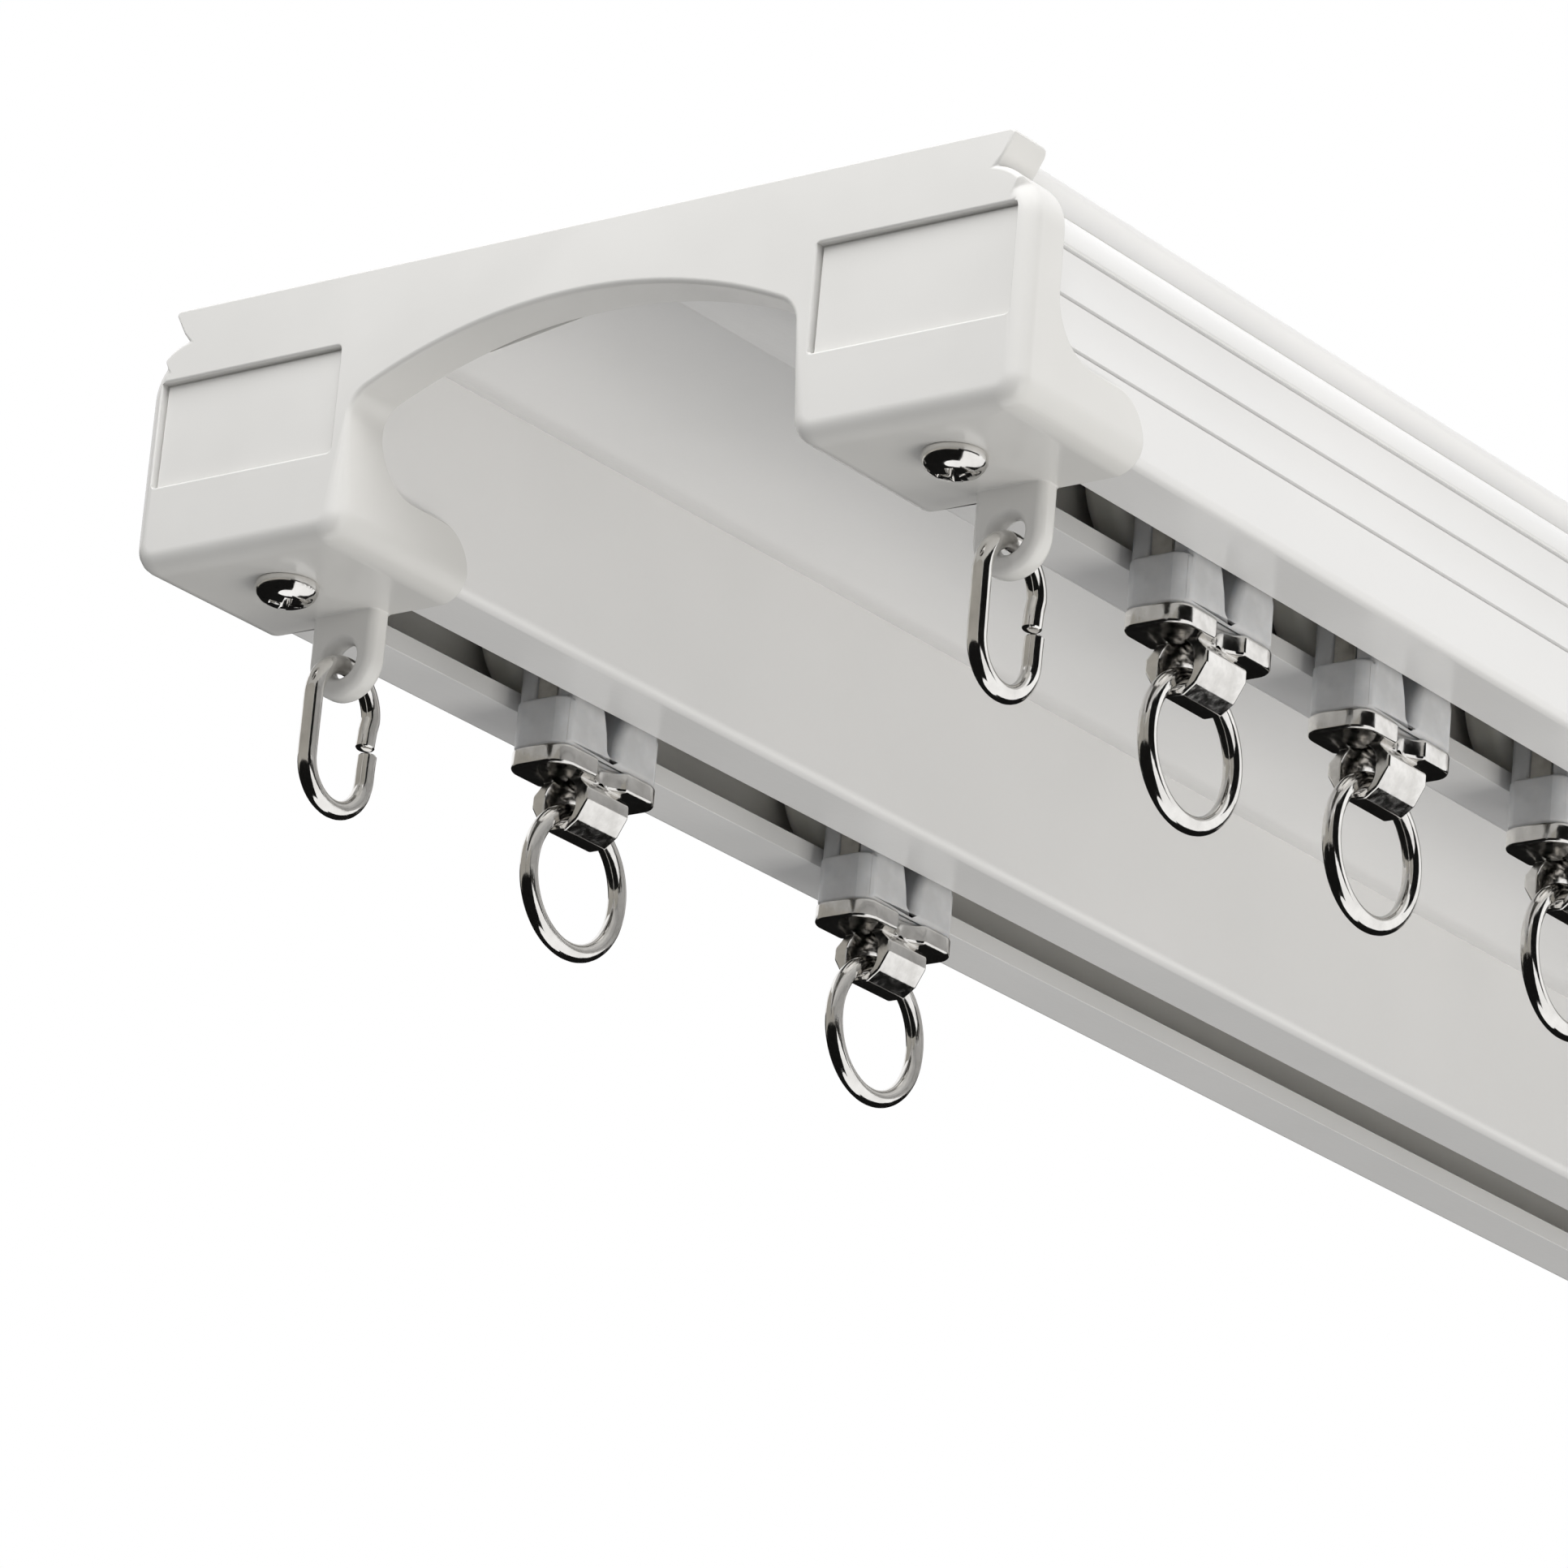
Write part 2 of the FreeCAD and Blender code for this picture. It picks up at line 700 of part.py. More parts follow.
def make_hanger(label):
    """The plated hanger: scalloped plate, two legs up into the nylon and the eye that holds the ring."""
    body = new_body(label)
    half_long = D["hanger_length"] / 2
    half_wide = D["hanger_width"] / 2
    half_scallop = D["scallop_width"] / 2
    dip = D["scallop_depth"]
    scallop = (half_scallop * half_scallop + dip * dip) / (2 * dip)
    waist = half_wide - dip
    plate = new_sketch(body, "HangerPlate", "XY_Plane", plate_bottom)
    sweep = math.degrees(math.asin(half_scallop.value / scallop.value))
    curve = D["hanger_round"]
    across = half_wide - curve
    inward = half_long - curve
    outline(
        plate,
        turn_corners(ZERO, -waist - scallop, scallop, 90 - sweep, 90 + sweep, 2 * QUARTER_SIDES)[::-1]
        + turn_corners(inward, -across, curve, 270, 360, QUARTER_SIDES)
        + turn_corners(inward, across, curve, 0, 90, QUARTER_SIDES)
        + turn_corners(ZERO, waist + scallop, scallop, 270 + sweep, 270 - sweep, 2 * QUARTER_SIDES)
        + turn_corners(-inward, across, curve, 90, 180, QUARTER_SIDES)
        + turn_corners(-inward, -across, curve, 180, 270, QUARTER_SIDES)
    )
    pad(body, plate, D["hanger_thickness"])

    legs = new_sketch(body, "HangerLegs", "XY_Plane", plate_top)
    outer_leg = D["carrier_waist_length"] / 2 - D["leg_gap"]
    for end in (1, -1):
        rectangle(legs, end * (outer_leg - D["leg_thickness"]), -D["leg_width"] / 2,
                  end * outer_leg, D["leg_width"] / 2)
    pad(body, legs, D["leg_height"])

    eye = new_sketch(body, "HangerEye", "YZ_Plane")
    outer = D["eye_radius"] + D["eye_wall"]
    inner = D["eye_radius"]
    outline(
        eye,
        [(-outer, plate_bottom)]
        + round_end(ZERO, eye_centre, outer, 180)
        + [(outer, plate_bottom), (inner, plate_bottom)]
        + turn_corners(ZERO, eye_centre, inner, 360, 180, 2 * QUARTER_SIDES + 2)
        + [(-inner, plate_bottom)],
    )
    pad(body, eye, D["eye_length"], both_ways=True)
    return body


def make_axle(label):
    """The axle with a bearing's inner race pressed on at each end."""
    body = new_body(label)
    stop = D["wheel_offset"] + D["wheel_width"] - D["inner_race_inset"]
    pin_sketch = new_sketch(body, "AxlePin", "XZ_Plane")
    polygon(pin_sketch, ZERO, ZERO, D["axle_diameter"] / 2, PIN_SIDES)
    pad(body, pin_sketch, 2 * (stop + D["axle_tip"]), both_ways=True)
    for side, name in ((-1, "AxleFrontRace"), (1, "AxleRearRace")):
        race = new_sketch(body, name, "XZ_Plane", -side * boss_face)
        polygon(race, ZERO, ZERO, D["inner_race_diameter"] / 2, WHEEL_SIDES)
        pad(body, race, stop - boss_face, reverse=side > 0)
    return body


def make_tyre(label, side):
    """A wheel's nylon tyre with its eased tread, around the axle's line."""
    body = new_body(label)
    width = D["wheel_width"]
    tread = new_sketch(body, "TyreTread", "XZ_Plane", -side * D["wheel_offset"])
    polygon(tread, ZERO, ZERO, wheel_radius, WHEEL_SIDES)
    drum = pad(body, tread, width, reverse=side > 0)

    def face_edge(edge, point):
        return near(abs(point.y), D["wheel_offset"]) or near(abs(point.y), D["wheel_offset"] + width)

    chamfer(body, drum, D["wheel_shoulder"], face_edge)
    seat = new_sketch(body, "TyreSeat", "XZ_Plane")
    polygon(seat, ZERO, ZERO, D["race_diameter"] / 2, WHEEL_SIDES)
    pocket(body, seat, 2 * (D["wheel_offset"] + width), both_ways=True)
    return body


def make_bearing(label, side):
    """The bearing's outer race with the ball cage that shows, sunk a little, around the inner race."""
    body = new_body(label)
    width = D["wheel_width"] - 2 * D["race_recess"]
    start = D["wheel_offset"] + D["race_recess"]
    outer = D["race_diameter"] / 2
    race = new_sketch(body, "OuterRace", "XZ_Plane", -side * start)
    polygon(race, ZERO, ZERO, outer, WHEEL_SIDES)
    pad(body, race, width, reverse=side > 0)
    cage = new_sketch(body, "CageFace", "XZ_Plane", -side * (start + width))
    polygon(cage, ZERO, ZERO, outer - D["race_rim"], WHEEL_SIDES)
    pocket(body, cage, D["cage_recess"], reverse=side > 0)
    bore = new_sketch(body, "BearingBore", "XZ_Plane")
    clearance = D["inner_race_diameter"] / 2 + D["running_gap"]
    polygon(bore, ZERO, ZERO, clearance / math.cos(math.pi / WHEEL_SIDES), WHEEL_SIDES)
    pocket(body, bore, 2 * (start + width), both_ways=True)
    return body


def make_curtain_ring(label):
    """The wire ring that hangs in the hanger's eye, drawn about its middle."""
    body = new_body(label)
    flat = ring_radius * math.cos(math.pi / RING_SIDES)
    half_step = 180 / RING_SIDES
    corners = turn_corners(ZERO, ZERO, ring_radius, half_step, 360 - half_step, RING_SIDES - 1)
    path = new_sketch(body, "RingPath", "XZ_Plane")
    outline(path, [(flat, ZERO)] + corners)
    section = new_sketch(body, "RingWire", "XY_Plane")
    wire_section(section, flat, ZERO)
    wire_along(body, "RingSweep", path, RING_SIDES + 1, section)
    return body


def make_carrier(row, number, side):
    """One carrier: nylon, hanger, axle, two wheels with bearings, and its ring, at its place on the rail."""
    prefix = f"{row}_carrier_{number}"
    along = D[f"{prefix}_station"] - half_length
    across = side * channel_middle
    floor = -D["rail_height"]
    axle = floor + axle_height
    parts = []
    for make, suffix in ((make_carrier_body, "body"), (make_hanger, "hanger")):
        part = make(f"{prefix}_{suffix}")
        place(part, along, across, floor)
        parts.append(part)
    part = make_axle(f"{prefix}_axle")
    place(part, along, across, axle)
    parts.append(part)
    for face, wheel_side in (("front", -1), ("rear", 1)):
        for make, suffix in ((make_tyre, "tyre"), (make_bearing, "bearing")):
            part = make(f"{prefix}_{face}_{suffix}", wheel_side)
            place(part, along, across, axle)
            parts.append(part)
    part = make_curtain_ring(f"{prefix}_ring")
    place(part, along, across, floor + ring_pivot - ring_radius)
    parts.append(part)
    return parts


def make_track():
    parts = [make_rail()]
    for end, place_name in ((-1, "near"), (1, "far")):
        parts.append(make_cap(f"end_cap_{place_name}", end))
        screws = []
        plates = []
        for side, row in ((-1, "front"), (1, "rear")):
            screws.append(make_cap_screw(f"screw_{place_name}_{row}", end, side))
            plates.append(make_clamp_plate(f"plate_{place_name}_{row}", end, side))
            parts.append(make_split_link(f"split_link_{place_name}_{row}", end, side))
        parts.append(group(f"cap_screws_{place_name}", screws))
        parts.append(group(f"clamp_plates_{place_name}", plates))
    for row, side, count in CARRIERS:
        for number in range(1, count + 1):
            parts += make_carrier(row, number, side)
    return parts


def check_document(parts):
    for item in doc.Objects:
        if "Invalid" in item.State or "Error" in item.State:
            raise RuntimeError(f"{item.Label} is {item.State}")
    for part in parts:
        if part.Shape.isNull() or not part.Shape.isValid():
            raise RuntimeError(f"{part.Label} has no valid shape")


def write_parts(parts):
    os.makedirs("parts", exist_ok=True)
    for part in parts:
        part.Shape.exportStep(f"parts/{part.Label}.step")


track = make_track()
doc.recompute()
check_document(track)
write_parts(track)
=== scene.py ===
"""Looks of a double ceiling curtain track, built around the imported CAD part.

Shapes are in millimetres in the CAD frame, X along the track, Y across it and Z up, and are turned into
metres where a mesh is made.
"""

import json
import math

import bmesh
import bpy
from mathutils import Matrix, Vector

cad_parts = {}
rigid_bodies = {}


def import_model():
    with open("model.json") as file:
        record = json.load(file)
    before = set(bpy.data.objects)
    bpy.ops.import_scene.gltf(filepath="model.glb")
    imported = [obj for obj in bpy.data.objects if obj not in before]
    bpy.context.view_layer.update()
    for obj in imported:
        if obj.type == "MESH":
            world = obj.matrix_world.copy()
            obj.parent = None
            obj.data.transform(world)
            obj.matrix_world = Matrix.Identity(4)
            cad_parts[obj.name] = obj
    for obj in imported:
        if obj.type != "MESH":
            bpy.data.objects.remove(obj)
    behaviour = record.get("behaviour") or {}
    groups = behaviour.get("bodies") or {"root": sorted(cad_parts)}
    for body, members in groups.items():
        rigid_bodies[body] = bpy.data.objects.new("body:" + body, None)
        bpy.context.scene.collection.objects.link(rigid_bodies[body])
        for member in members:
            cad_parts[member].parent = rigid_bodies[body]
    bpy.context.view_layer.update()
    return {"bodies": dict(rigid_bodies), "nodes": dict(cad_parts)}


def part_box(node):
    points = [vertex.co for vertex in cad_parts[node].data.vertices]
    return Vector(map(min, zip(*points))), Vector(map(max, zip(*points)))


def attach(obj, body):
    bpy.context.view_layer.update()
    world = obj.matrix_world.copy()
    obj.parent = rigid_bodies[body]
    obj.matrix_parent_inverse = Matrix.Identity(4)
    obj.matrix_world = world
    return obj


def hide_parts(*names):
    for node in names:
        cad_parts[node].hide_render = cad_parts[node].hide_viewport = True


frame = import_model()

MM = 0.001

# Rail section
CHANNEL_WIDTH = 22.3
CHANNEL_WALL = 1.3
ROOF = 1.6
LIP = 2.0
SLOT = 8.1
HOOK_REACH = 1.4
HOOK_STEP = 0.2
HOOK_NOSE = 0.5
HOOK_SLOPE = 2.3
HOOK_EASE = 0.15
NECK = 4.3
NECK_CORNER = 0.02
SHOULDER = 4.1
WEB_MIDDLE = 2.2
WEB_EDGE = 6.3
WEB_HOLLOW = ((0.0, 1.4), (0.8, 1.06), (1.8, 0.68), (2.9, 0.34), (4.2, 0.1), (5.6, 0.0))
RAIL_EDGE = 1.0
RAIL_EASE = 0.04
GROOVE_WIDTH = 0.36
GROOVE_DEPTH = 0.75
GROOVE_DRAFT = 0.1
GROOVE_HEIGHTS = (6.9, 11.2, 15.5)
STRIP_HOLLOW = 0.16
STRIP_STEPS = 7
CEILING_BORE = 4.5
CEILING_BORE_INSET = 60.0
BARE_MARGIN = 0.6
BARE_RISE = 1.5
BARE_FACING = 0.2

# End cap
CAP_WALL = 1.2
CAP_PLATE = 1.6
CAP_FIT = 0.1
CAP_SKIRT = 5.0
CAP_DEPTH = 18.7
CAP_SIDE_HEIGHT = 5.2
CAP_SWEEP = 5.4
CAP_CORNER = 4.2
CAP_EASE = 0.16
BOX_SETBACK = 0.5
TONGUE_REACH = 3.0
TONGUE_HEIGHT = 2.4
TONGUE_ROUND = 0.5
TONGUE_SLANT = 1.1
TONGUE_END = 1.5
ARCH_HEIGHT = 6.7
ARCH_RADIUS = 58.0
ARCH_BLEND = 3.0
CAP_EDGE = 2.8
CAP_FRONT_ROUND = 1.9
CAP_ARCH_ROUND = 0.5
CAP_TOP_ROUND = 0.25
PANEL_WIDTH = 21.4
PANEL_HEIGHT = 10.4
PANEL_BOTTOM = 7.0
PANEL_DEPTH = 0.75
PANEL_RISE = 0.25
PANEL_RIM = 0.25
PANEL_CORNER = 0.4
PANEL_LINE = 0.28
TAB_WIDTH = 7.6
TAB_THICKNESS = 2.5
TAB_DROP = 4.5
TAB_BORE = 3.4
TAB_DISH = 4.6
TAB_EDGE = 0.85

# Cap screw: the head's dome as radius and drop, the recess as rise, half length and half width
SCREW_INSET = 8.2
SCREW_SHANK = 3.0
SCREW_FIT = 0.1
SCREW_HEAD = 5.9
SCREW_HEAD_HEIGHT = 2.1
SCREW_HEAD_SIDE = 0.75
SCREW_HEAD_EDGE = 0.12
SCREW_DOME = ((0, 0), (0.9, 0.02), (1.7, 0.14), (2.3, 0.42), (2.7, 0.82))
SCREW_RECESS = ((0.3, 1.75, 0.42), (-0.35, 1.45, 0.36), (-1.25, 0.45, 0.24))
SCREW_TURNS = {("near", -1): 20, ("near", 1): 52, ("far", -1): 75, ("far", 1): 8}
SCREW_EASE = 0.06
CLAMP_PLATE = 3.0
THREAD_PAST = 1.5
THREAD_START = 0.8
THREAD_PITCH = 0.5
THREAD_DEPTH = 0.22

# Wire: an end's shape as shares of its taper and of the radius
WIRE = 1.8
WIRE_SIDES = 24
WIRE_END = ((1.0, 0.62), (0.6, 0.88))
LINK_GAP = 0.9
LINK_STEP = 0.38
LINK_TAPER = 0.22
RING_STEP = 3.75

# Carrier body and hanger: the window's flank and the eye as half widths at their heights
CARRIER_LENGTH = 15.2
CARRIER_WAIST = 13.2
CARRIER_THICKNESS = 7.0
CARRIER_BASE = 4.8
AXLE_HEIGHT = 10.05
BOSS_FACE = 4.2
BODY_ROUND = 0.7
BODY_EASE = 0.28
LOBE_ROUND = 2.2
LOBE_FIT = 0.1
WINDOW_WIDTH = 4.4
WINDOW_ROUND = 1.0
WINDOW_FOOT = 1.0
WINDOW_CROWN = 1.0
WINDOW_TOE = 0.5
WINDOW_FLANK = ((0.75, 1.9), (1.25, 3.6), (1.95, 5.2))
LEG_THICKNESS = 0.8
LEG_WIDTH = 2.4
LEG_HEIGHT = 13.3
LEG_GAP = 0.1
LEG_SEAT = 0.05
LEG_OPEN = 0.03
HANGER_DROP = 4.5
HANGER_LENGTH = 15.8
HANGER_WIDTH = 7.2
HANGER_THICKNESS = 2.0
HANGER_ROUND = 2.2
HANGER_EASE = 0.14
HANGER_SHARP = 20.0
PLATE_ROUND = 0.35
SCALLOP_WIDTH = 4.6
SCALLOP_DEPTH = 1.3
EYE_OUTLINE = ((2.3, 0.5), (2.3, -0.1), (3.4, -1.2), (3.4, -2.4), (2.3, -4.2), (0.9, -5.2))
EYE_LENGTH = 6.4
EYE_ROUND = 0.3
EYE_RADIUS = 1.35
EYE_ROOF = 0.4
EYE_FOOT = 4.2
EYE_FLARE = 0.6
EYE_FOOT_FLARE = 0.3
EYE_STEPS = 4

# Wheel: the axle's dimple and edge as points from its middle and from its side, with their depths
WHEEL_RADIUS = 8.0
WHEEL_WIDTH = 4.4
WHEEL_OFFSET = 4.4
WHEEL_SHOULDER = 1.5
SEAT_RIM = 0.25
SEAT_EDGE = 0.2
RACE_RADIUS = 4.8
RACE_RIM = 0.6
RACE_RECESS = 0.4
RACE_EDGE = 0.14
INNER_RACE_RADIUS = 3.0
INNER_RACE_SHIFT = 0.2
INNER_RACE_EDGE = 0.22
CAGE_RECESS = 0.35
CAGE_INNER_GAP = 0.12
CAGE_OUTER_GAP = 0.02
CAGE_EDGE = 0.08
CAGE_EASE = 0.04
POCKET_GAP = 0.06
POCKET_DEPTH = 1.3
VENT_PLACES = (0.36, 0.64)
VENT_RADIUS = 0.22
VENT_DEPTH = 0.4
BALLS = 8
BALL_RADIUS = 0.6
AXLE_RADIUS = 2.1
AXLE_TIP = 0.5
AXLE_DIMPLE = ((0, 0.32), (0.45, 0.28), (0.85, 0.1), (1.1, 0))
AXLE_EDGE = ((0.3, 0), (0.08, 0.1), (0, 0.32))

# Mesh steps, and how far a cutter reaches past the piece that it cuts
ARC_STEP = 6.0
FINE_STEP = 10.0
ROUND_STEPS = 5
LATHE_STEPS = 96
MITRE_LIMIT = 0.5
PAST = 1.0

# The part of a noise's range that its colours and values follow
SHADE_LOW = 0.35
SHADE_HIGH = 0.65
NOISE_LOW = 0.3
NOISE_HIGH = 0.7

# The stretch of a noise that is drawn out along the extrusion
DRAWN = (0.01, 1, 1)


def box_mm(node):
    """Lowest and highest corner of a CAD node in millimetres."""
    low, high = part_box(node)
    return low / MM, high / MM


rail_low, rail_high = box_mm("rail")
cap_low, cap_high = box_mm("end_cap_near")
HALF_LENGTH = -cap_low.x
HALF_WIDTH = cap_high.y
RAIL_SIDE = rail_high.y
FLOOR = rail_low.z
RAIL_INNER = RAIL_SIDE - CHANNEL_WIDTH
CHANNEL = RAIL_SIDE - CHANNEL_WIDTH / 2
HOOK_SIDE = RAIL_SIDE - SHOULDER - HOOK_STEP
NECK_SIDE = HOOK_SIDE - HOOK_REACH
SHOULDER_LOW = NECK + SHOULDER
CAP_BOTTOM = FLOOR - CAP_WALL
BOX_INNER = RAIL_INNER - CAP_WALL - CAP_FIT
ARCH_CENTRE = -ARCH_HEIGHT - ARCH_RADIUS


# Mesh helpers

def arc(x, y, radius, first, last, step=ARC_STEP):
    """Points along an arc from one angle in degrees to another."""
    count = max(2, round(abs(last - first) / step))
    points = []
    for number in range(count + 1):
        angle = math.radians(first + (last - first) * number / count)
        points.append((x + radius * math.cos(angle), y + radius * math.sin(angle)))
    return points


def mirrored(half):
    """Close a half outline with its mirror image about the upright axis."""
    return half + [(-x, y) for x, y in reversed(half) if abs(x) > 1e-6]


def lean(distance, radius):
    """The angle in degrees at which a circle is so far from its upright axis."""
    return math.degrees(math.acos(distance / radius))


def along(axis, a, b, depth):
    """A point of an outline extruded along an axis."""
    return {"x": (depth, a, b), "y": (a, depth, b), "z": (a, b, depth)}[axis]


def turn_outward(mesh, merge=False):
    """Turn a mesh's faces outward, after merging points that meet."""
    shape = bmesh.new()
    shape.from_mesh(mesh)
    if merge:
        bmesh.ops.remove_doubles(shape, verts=shape.verts, dist=1e-7)
    bmesh.ops.recalc_face_normals(shape, faces=shape.faces)
    shape.to_mesh(mesh)
    shape.free()


def new_object(name, data):
    """A new object in the scene."""
    thing = bpy.data.objects.new(name, data)
    bpy.context.scene.collection.objects.link(thing)
    return thing


def mesh_object(name, corners, faces):
    """A mesh object from corners in millimetres, with its faces turned outward."""
    mesh = bpy.data.meshes.new(name)
    mesh.from_pydata([Vector(corner) * MM for corner in corners], [], faces)
    turn_outward(mesh)
    return new_object(name, mesh)


def skin(name, rings, closed=False):
    """Join rings of points with quads, and close the loop or both ends."""
    size = len(rings[0])
    corners = [point for ring in rings for point in ring]
    faces = []
    last = len(rings) if closed else len(rings) - 1
    for ring in range(last):
        here, there = ring * size, (ring + 1) % len(rings) * size
        for number in range(size):
            after = (number + 1) % size
            faces.append((here + number, here + after, there + after, there + number))
    if not closed:
        faces.append(tuple(range(size)))
        faces.append(tuple(range((len(rings) - 1) * size, len(rings) * size)))
    return mesh_object(name, corners, faces)


def prism(name, outline, low, high, axis):
    """An outline extruded along an axis."""
    return skin(name, [[along(axis, a, b, depth) for a, b in outline] for depth in (low, high)])


def circle(x, y, radius, step=ARC_STEP):
    """Points round a circle."""
    return arc(x, y, radius, 0, 360, step)[:-1]


def inset(outline, amounts):
    """Move each point of a closed outline inward by its own amount."""
    count = len(outline)
    area = sum(Vector(outline[number - 1]).cross(Vector(outline[number])) for number in range(count))
    turn = 1 if area > 0 else -1
    moved = []
    for number, point in enumerate(outline):
        here = Vector(point)
        before = (here - Vector(outline[number - 1])).normalized()
        after = (Vector(outline[(number + 1) % count]) - here).normalized()
        square = Vector((-before.y, before.x))
        normal = (square + Vector((-after.y, after.x))).normalized() * turn
        share = max(MITRE_LIMIT, abs(normal.dot(square)))
        moved.append(tuple(here + normal * (amounts[number] / share)))
    return moved


def rounded_edge(outline, rounds, axis, start, inward):
    """Rings that round an outline's edge over, from the face at start to the full outline."""
    rings = []
    for number in range(ROUND_STEPS + 1):
        angle = math.pi / 2 * number / ROUND_STEPS
        shape = inset(outline, [radius * (1 - math.sin(angle)) for radius in rounds])
        depths = [start + inward * radius * (1 - math.cos(angle)) for radius in rounds]
        rings.append([along(axis, a, b, depth) for (a, b), depth in zip(shape, depths)])
    return rings


def rounded_prism(name, outline, low, high, rounds, axis, both=True):
    """An outline extruded along an axis, with its edge rounded over at both ends or the low one."""
    if not isinstance(rounds, list):
        rounds = [rounds] * len(outline)
    rings = rounded_edge(outline, rounds, axis, low, 1)
    if both:
        rings += reversed(rounded_edge(outline, rounds, axis, high, -1))
    else:
        rings.append([along(axis, a, b, high) for a, b in outline])
    return skin(name, rings)


def lathe(name, profile, axis, steps):
    """Turn a closed profile of (radius, height) points about an axis."""
    rings = []
    for number in range(steps):
        angle = 2 * math.pi * number / steps
        a, b = math.cos(angle), math.sin(angle)
        rings.append([along(axis, radius * a, radius * b, height) for radius, height in profile])
    piece = skin(name, rings, closed=True)
    turn_outward(piece.data, merge=True)
    return piece


def wire_ring(middle, normal, reach):
    """Points round a wire whose middle line lies in the XZ plane."""
    ring = []
    for corner in range(WIRE_SIDES):
        angle = 2 * math.pi * corner / WIRE_SIDES
        out = middle + normal * (reach * math.cos(angle))
        ring.append((out.x, reach * math.sin(angle), out.y))
    return ring


def wire_tube(name, path, closed, taper=0.0):
    """A round wire along a path in the XZ plane. Open ends are eased over the taper length."""
    radius = WIRE / 2
    eased = [] if closed else [(taper * shift, radius * reach) for shift, reach in WIRE_END]
    beyond = (path[-1], path[0]) if closed else (path[0], path[-1])
    points = [beyond[0], *path, beyond[1]]
    rings = []
    for number, (x, z) in enumerate(path):
        tangent = (Vector(points[number + 2]) - Vector(points[number])).normalized()
        normal = Vector((-tangent.y, tangent.x))
        steps = [(0.0, radius)]
        if number == 0:
            steps = [(-shift, reach) for shift, reach in eased] + steps
        if number == len(path) - 1:
            steps += eased[::-1]
        rings += [wire_ring(Vector((x, z)) + tangent * shift, normal, reach) for shift, reach in steps]
    return skin(name, rings, closed=closed)


def apply(piece):
    """Make a piece's mesh what its modifiers turn it into."""
    bpy.context.view_layer.update()
    mesh = bpy.data.meshes.new_from_object(piece.evaluated_get(bpy.context.evaluated_depsgraph_get()))
    piece.modifiers.clear()
    piece.data = mesh


def combine(piece, tool, operation="DIFFERENCE"):
    """Cut a tool out of a piece, or join it on, and drop the tool."""
    modifier = piece.modifiers.new("Combine", "BOOLEAN")
    modifier.object = tool
    modifier.operation = operation
    modifier.solver = "EXACT"
    apply(piece)
    bpy.data.objects.remove(tool)
    return piece


def ease(piece, edge, steps=3, sharp=38.0):
    """Round a piece's sharp edges over by a width in millimetres."""
    modifier = piece.modifiers.new("Ease", "BEVEL")
    modifier.width = edge * MM
    modifier.segments = steps
    modifier.limit_method = "ANGLE"
    modifier.angle_limit = math.radians(sharp)
    modifier.use_clamp_overlap = False
    apply(piece)


def finished(piece, material, edge=0.0, steps=3, sharp=38.0):
    """Ease a piece's sharp edges, smooth it, give it its material and keep only its mesh."""
    if edge:
        ease(piece, edge, steps, sharp)
    piece.data.materials.clear()
    piece.data.materials.append(material)
    piece.data.shade_smooth()
    piece.data.set_sharp_from_angle(angle=math.radians(sharp))
    piece.modifiers.new("Flats", "WEIGHTED_NORMAL").keep_sharp = True
    apply(piece)
    mesh = piece.data
    mesh.name = piece.name
    bpy.data.objects.remove(piece)
    return mesh


def put(name, mesh, body, nodes, place=(0, 0, 0), turn=(0, 0, 0)):
    """Set a mesh at its place on its CAD body, instead of the CAD nodes it stands for."""
    piece = new_object(name, mesh)
    piece.location = Vector(place) * MM
    piece.rotation_euler = [math.radians(angle) for angle in turn]
    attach(piece, body)
    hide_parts(*nodes)
    return piece


# Materials

def new_material(name):
    """A material and its shader."""
    material = bpy.data.materials.new(name)
    material.use_nodes = True
    return material, material.node_tree.nodes["Principled BSDF"]


def fill(node, values):
    """Set a node's plain values by the names of its sockets."""
    for socket, value in values.items():
        node.inputs[socket].default_value = value
    return node


def noise(tree, cell, detail, stretch=(1, 1, 1)):
    """Noise of a given cell size in millimetres, fixed to the object."""
    place = tree.nodes.new("ShaderNodeTexCoord")
    scale = fill(tree.nodes.new("ShaderNodeMapping"), {"Scale": stretch})
    texture = fill(tree.nodes.new("ShaderNodeTexNoise"), {"Scale": 1 / (cell * MM), "Detail": detail})
    tree.links.new(place.outputs["Object"], scale.inputs["Vector"])
    tree.links.new(scale.outputs["Vector"], texture.inputs["Vector"])
    return texture.outputs["Fac"]


def shade(tree, value, low, high):
    """Turn a value into a colour between two near shades."""
    ramp = tree.nodes.new("ShaderNodeValToRGB")
    ramp.color_ramp.elements[0].position = SHADE_LOW
    ramp.color_ramp.elements[1].position = SHADE_HIGH
    ramp.color_ramp.elements[0].color = (*low, 1)
    ramp.color_ramp.elements[1].color = (*high, 1)
    tree.links.new(value, ramp.inputs["Fac"])
    return ramp.outputs["Color"]


def spread(tree, value, low, high):
    """Map a noise value to a range."""
    span = {"From Min": NOISE_LOW, "From Max": NOISE_HIGH, "To Min": low, "To Max": high}
    node = fill(tree.nodes.new("ShaderNodeMapRange"), span)
    tree.links.new(value, node.inputs["Value"])
    return node.outputs["Result"]


def bump(tree, shader, heights):
    """Stack bumps, each a height value and its depth in millimetres."""
    normal = None
    for value, depth in heights:
        node = fill(tree.nodes.new("ShaderNodeBump"), {"Distance": depth * MM, "Strength": 1.0})
        tree.links.new(value, node.inputs["Height"])
        if normal is not None:
            tree.links.new(normal, node.inputs["Normal"])
        normal = node.outputs["Normal"]
    tree.links.new(normal, shader.inputs["Normal"])


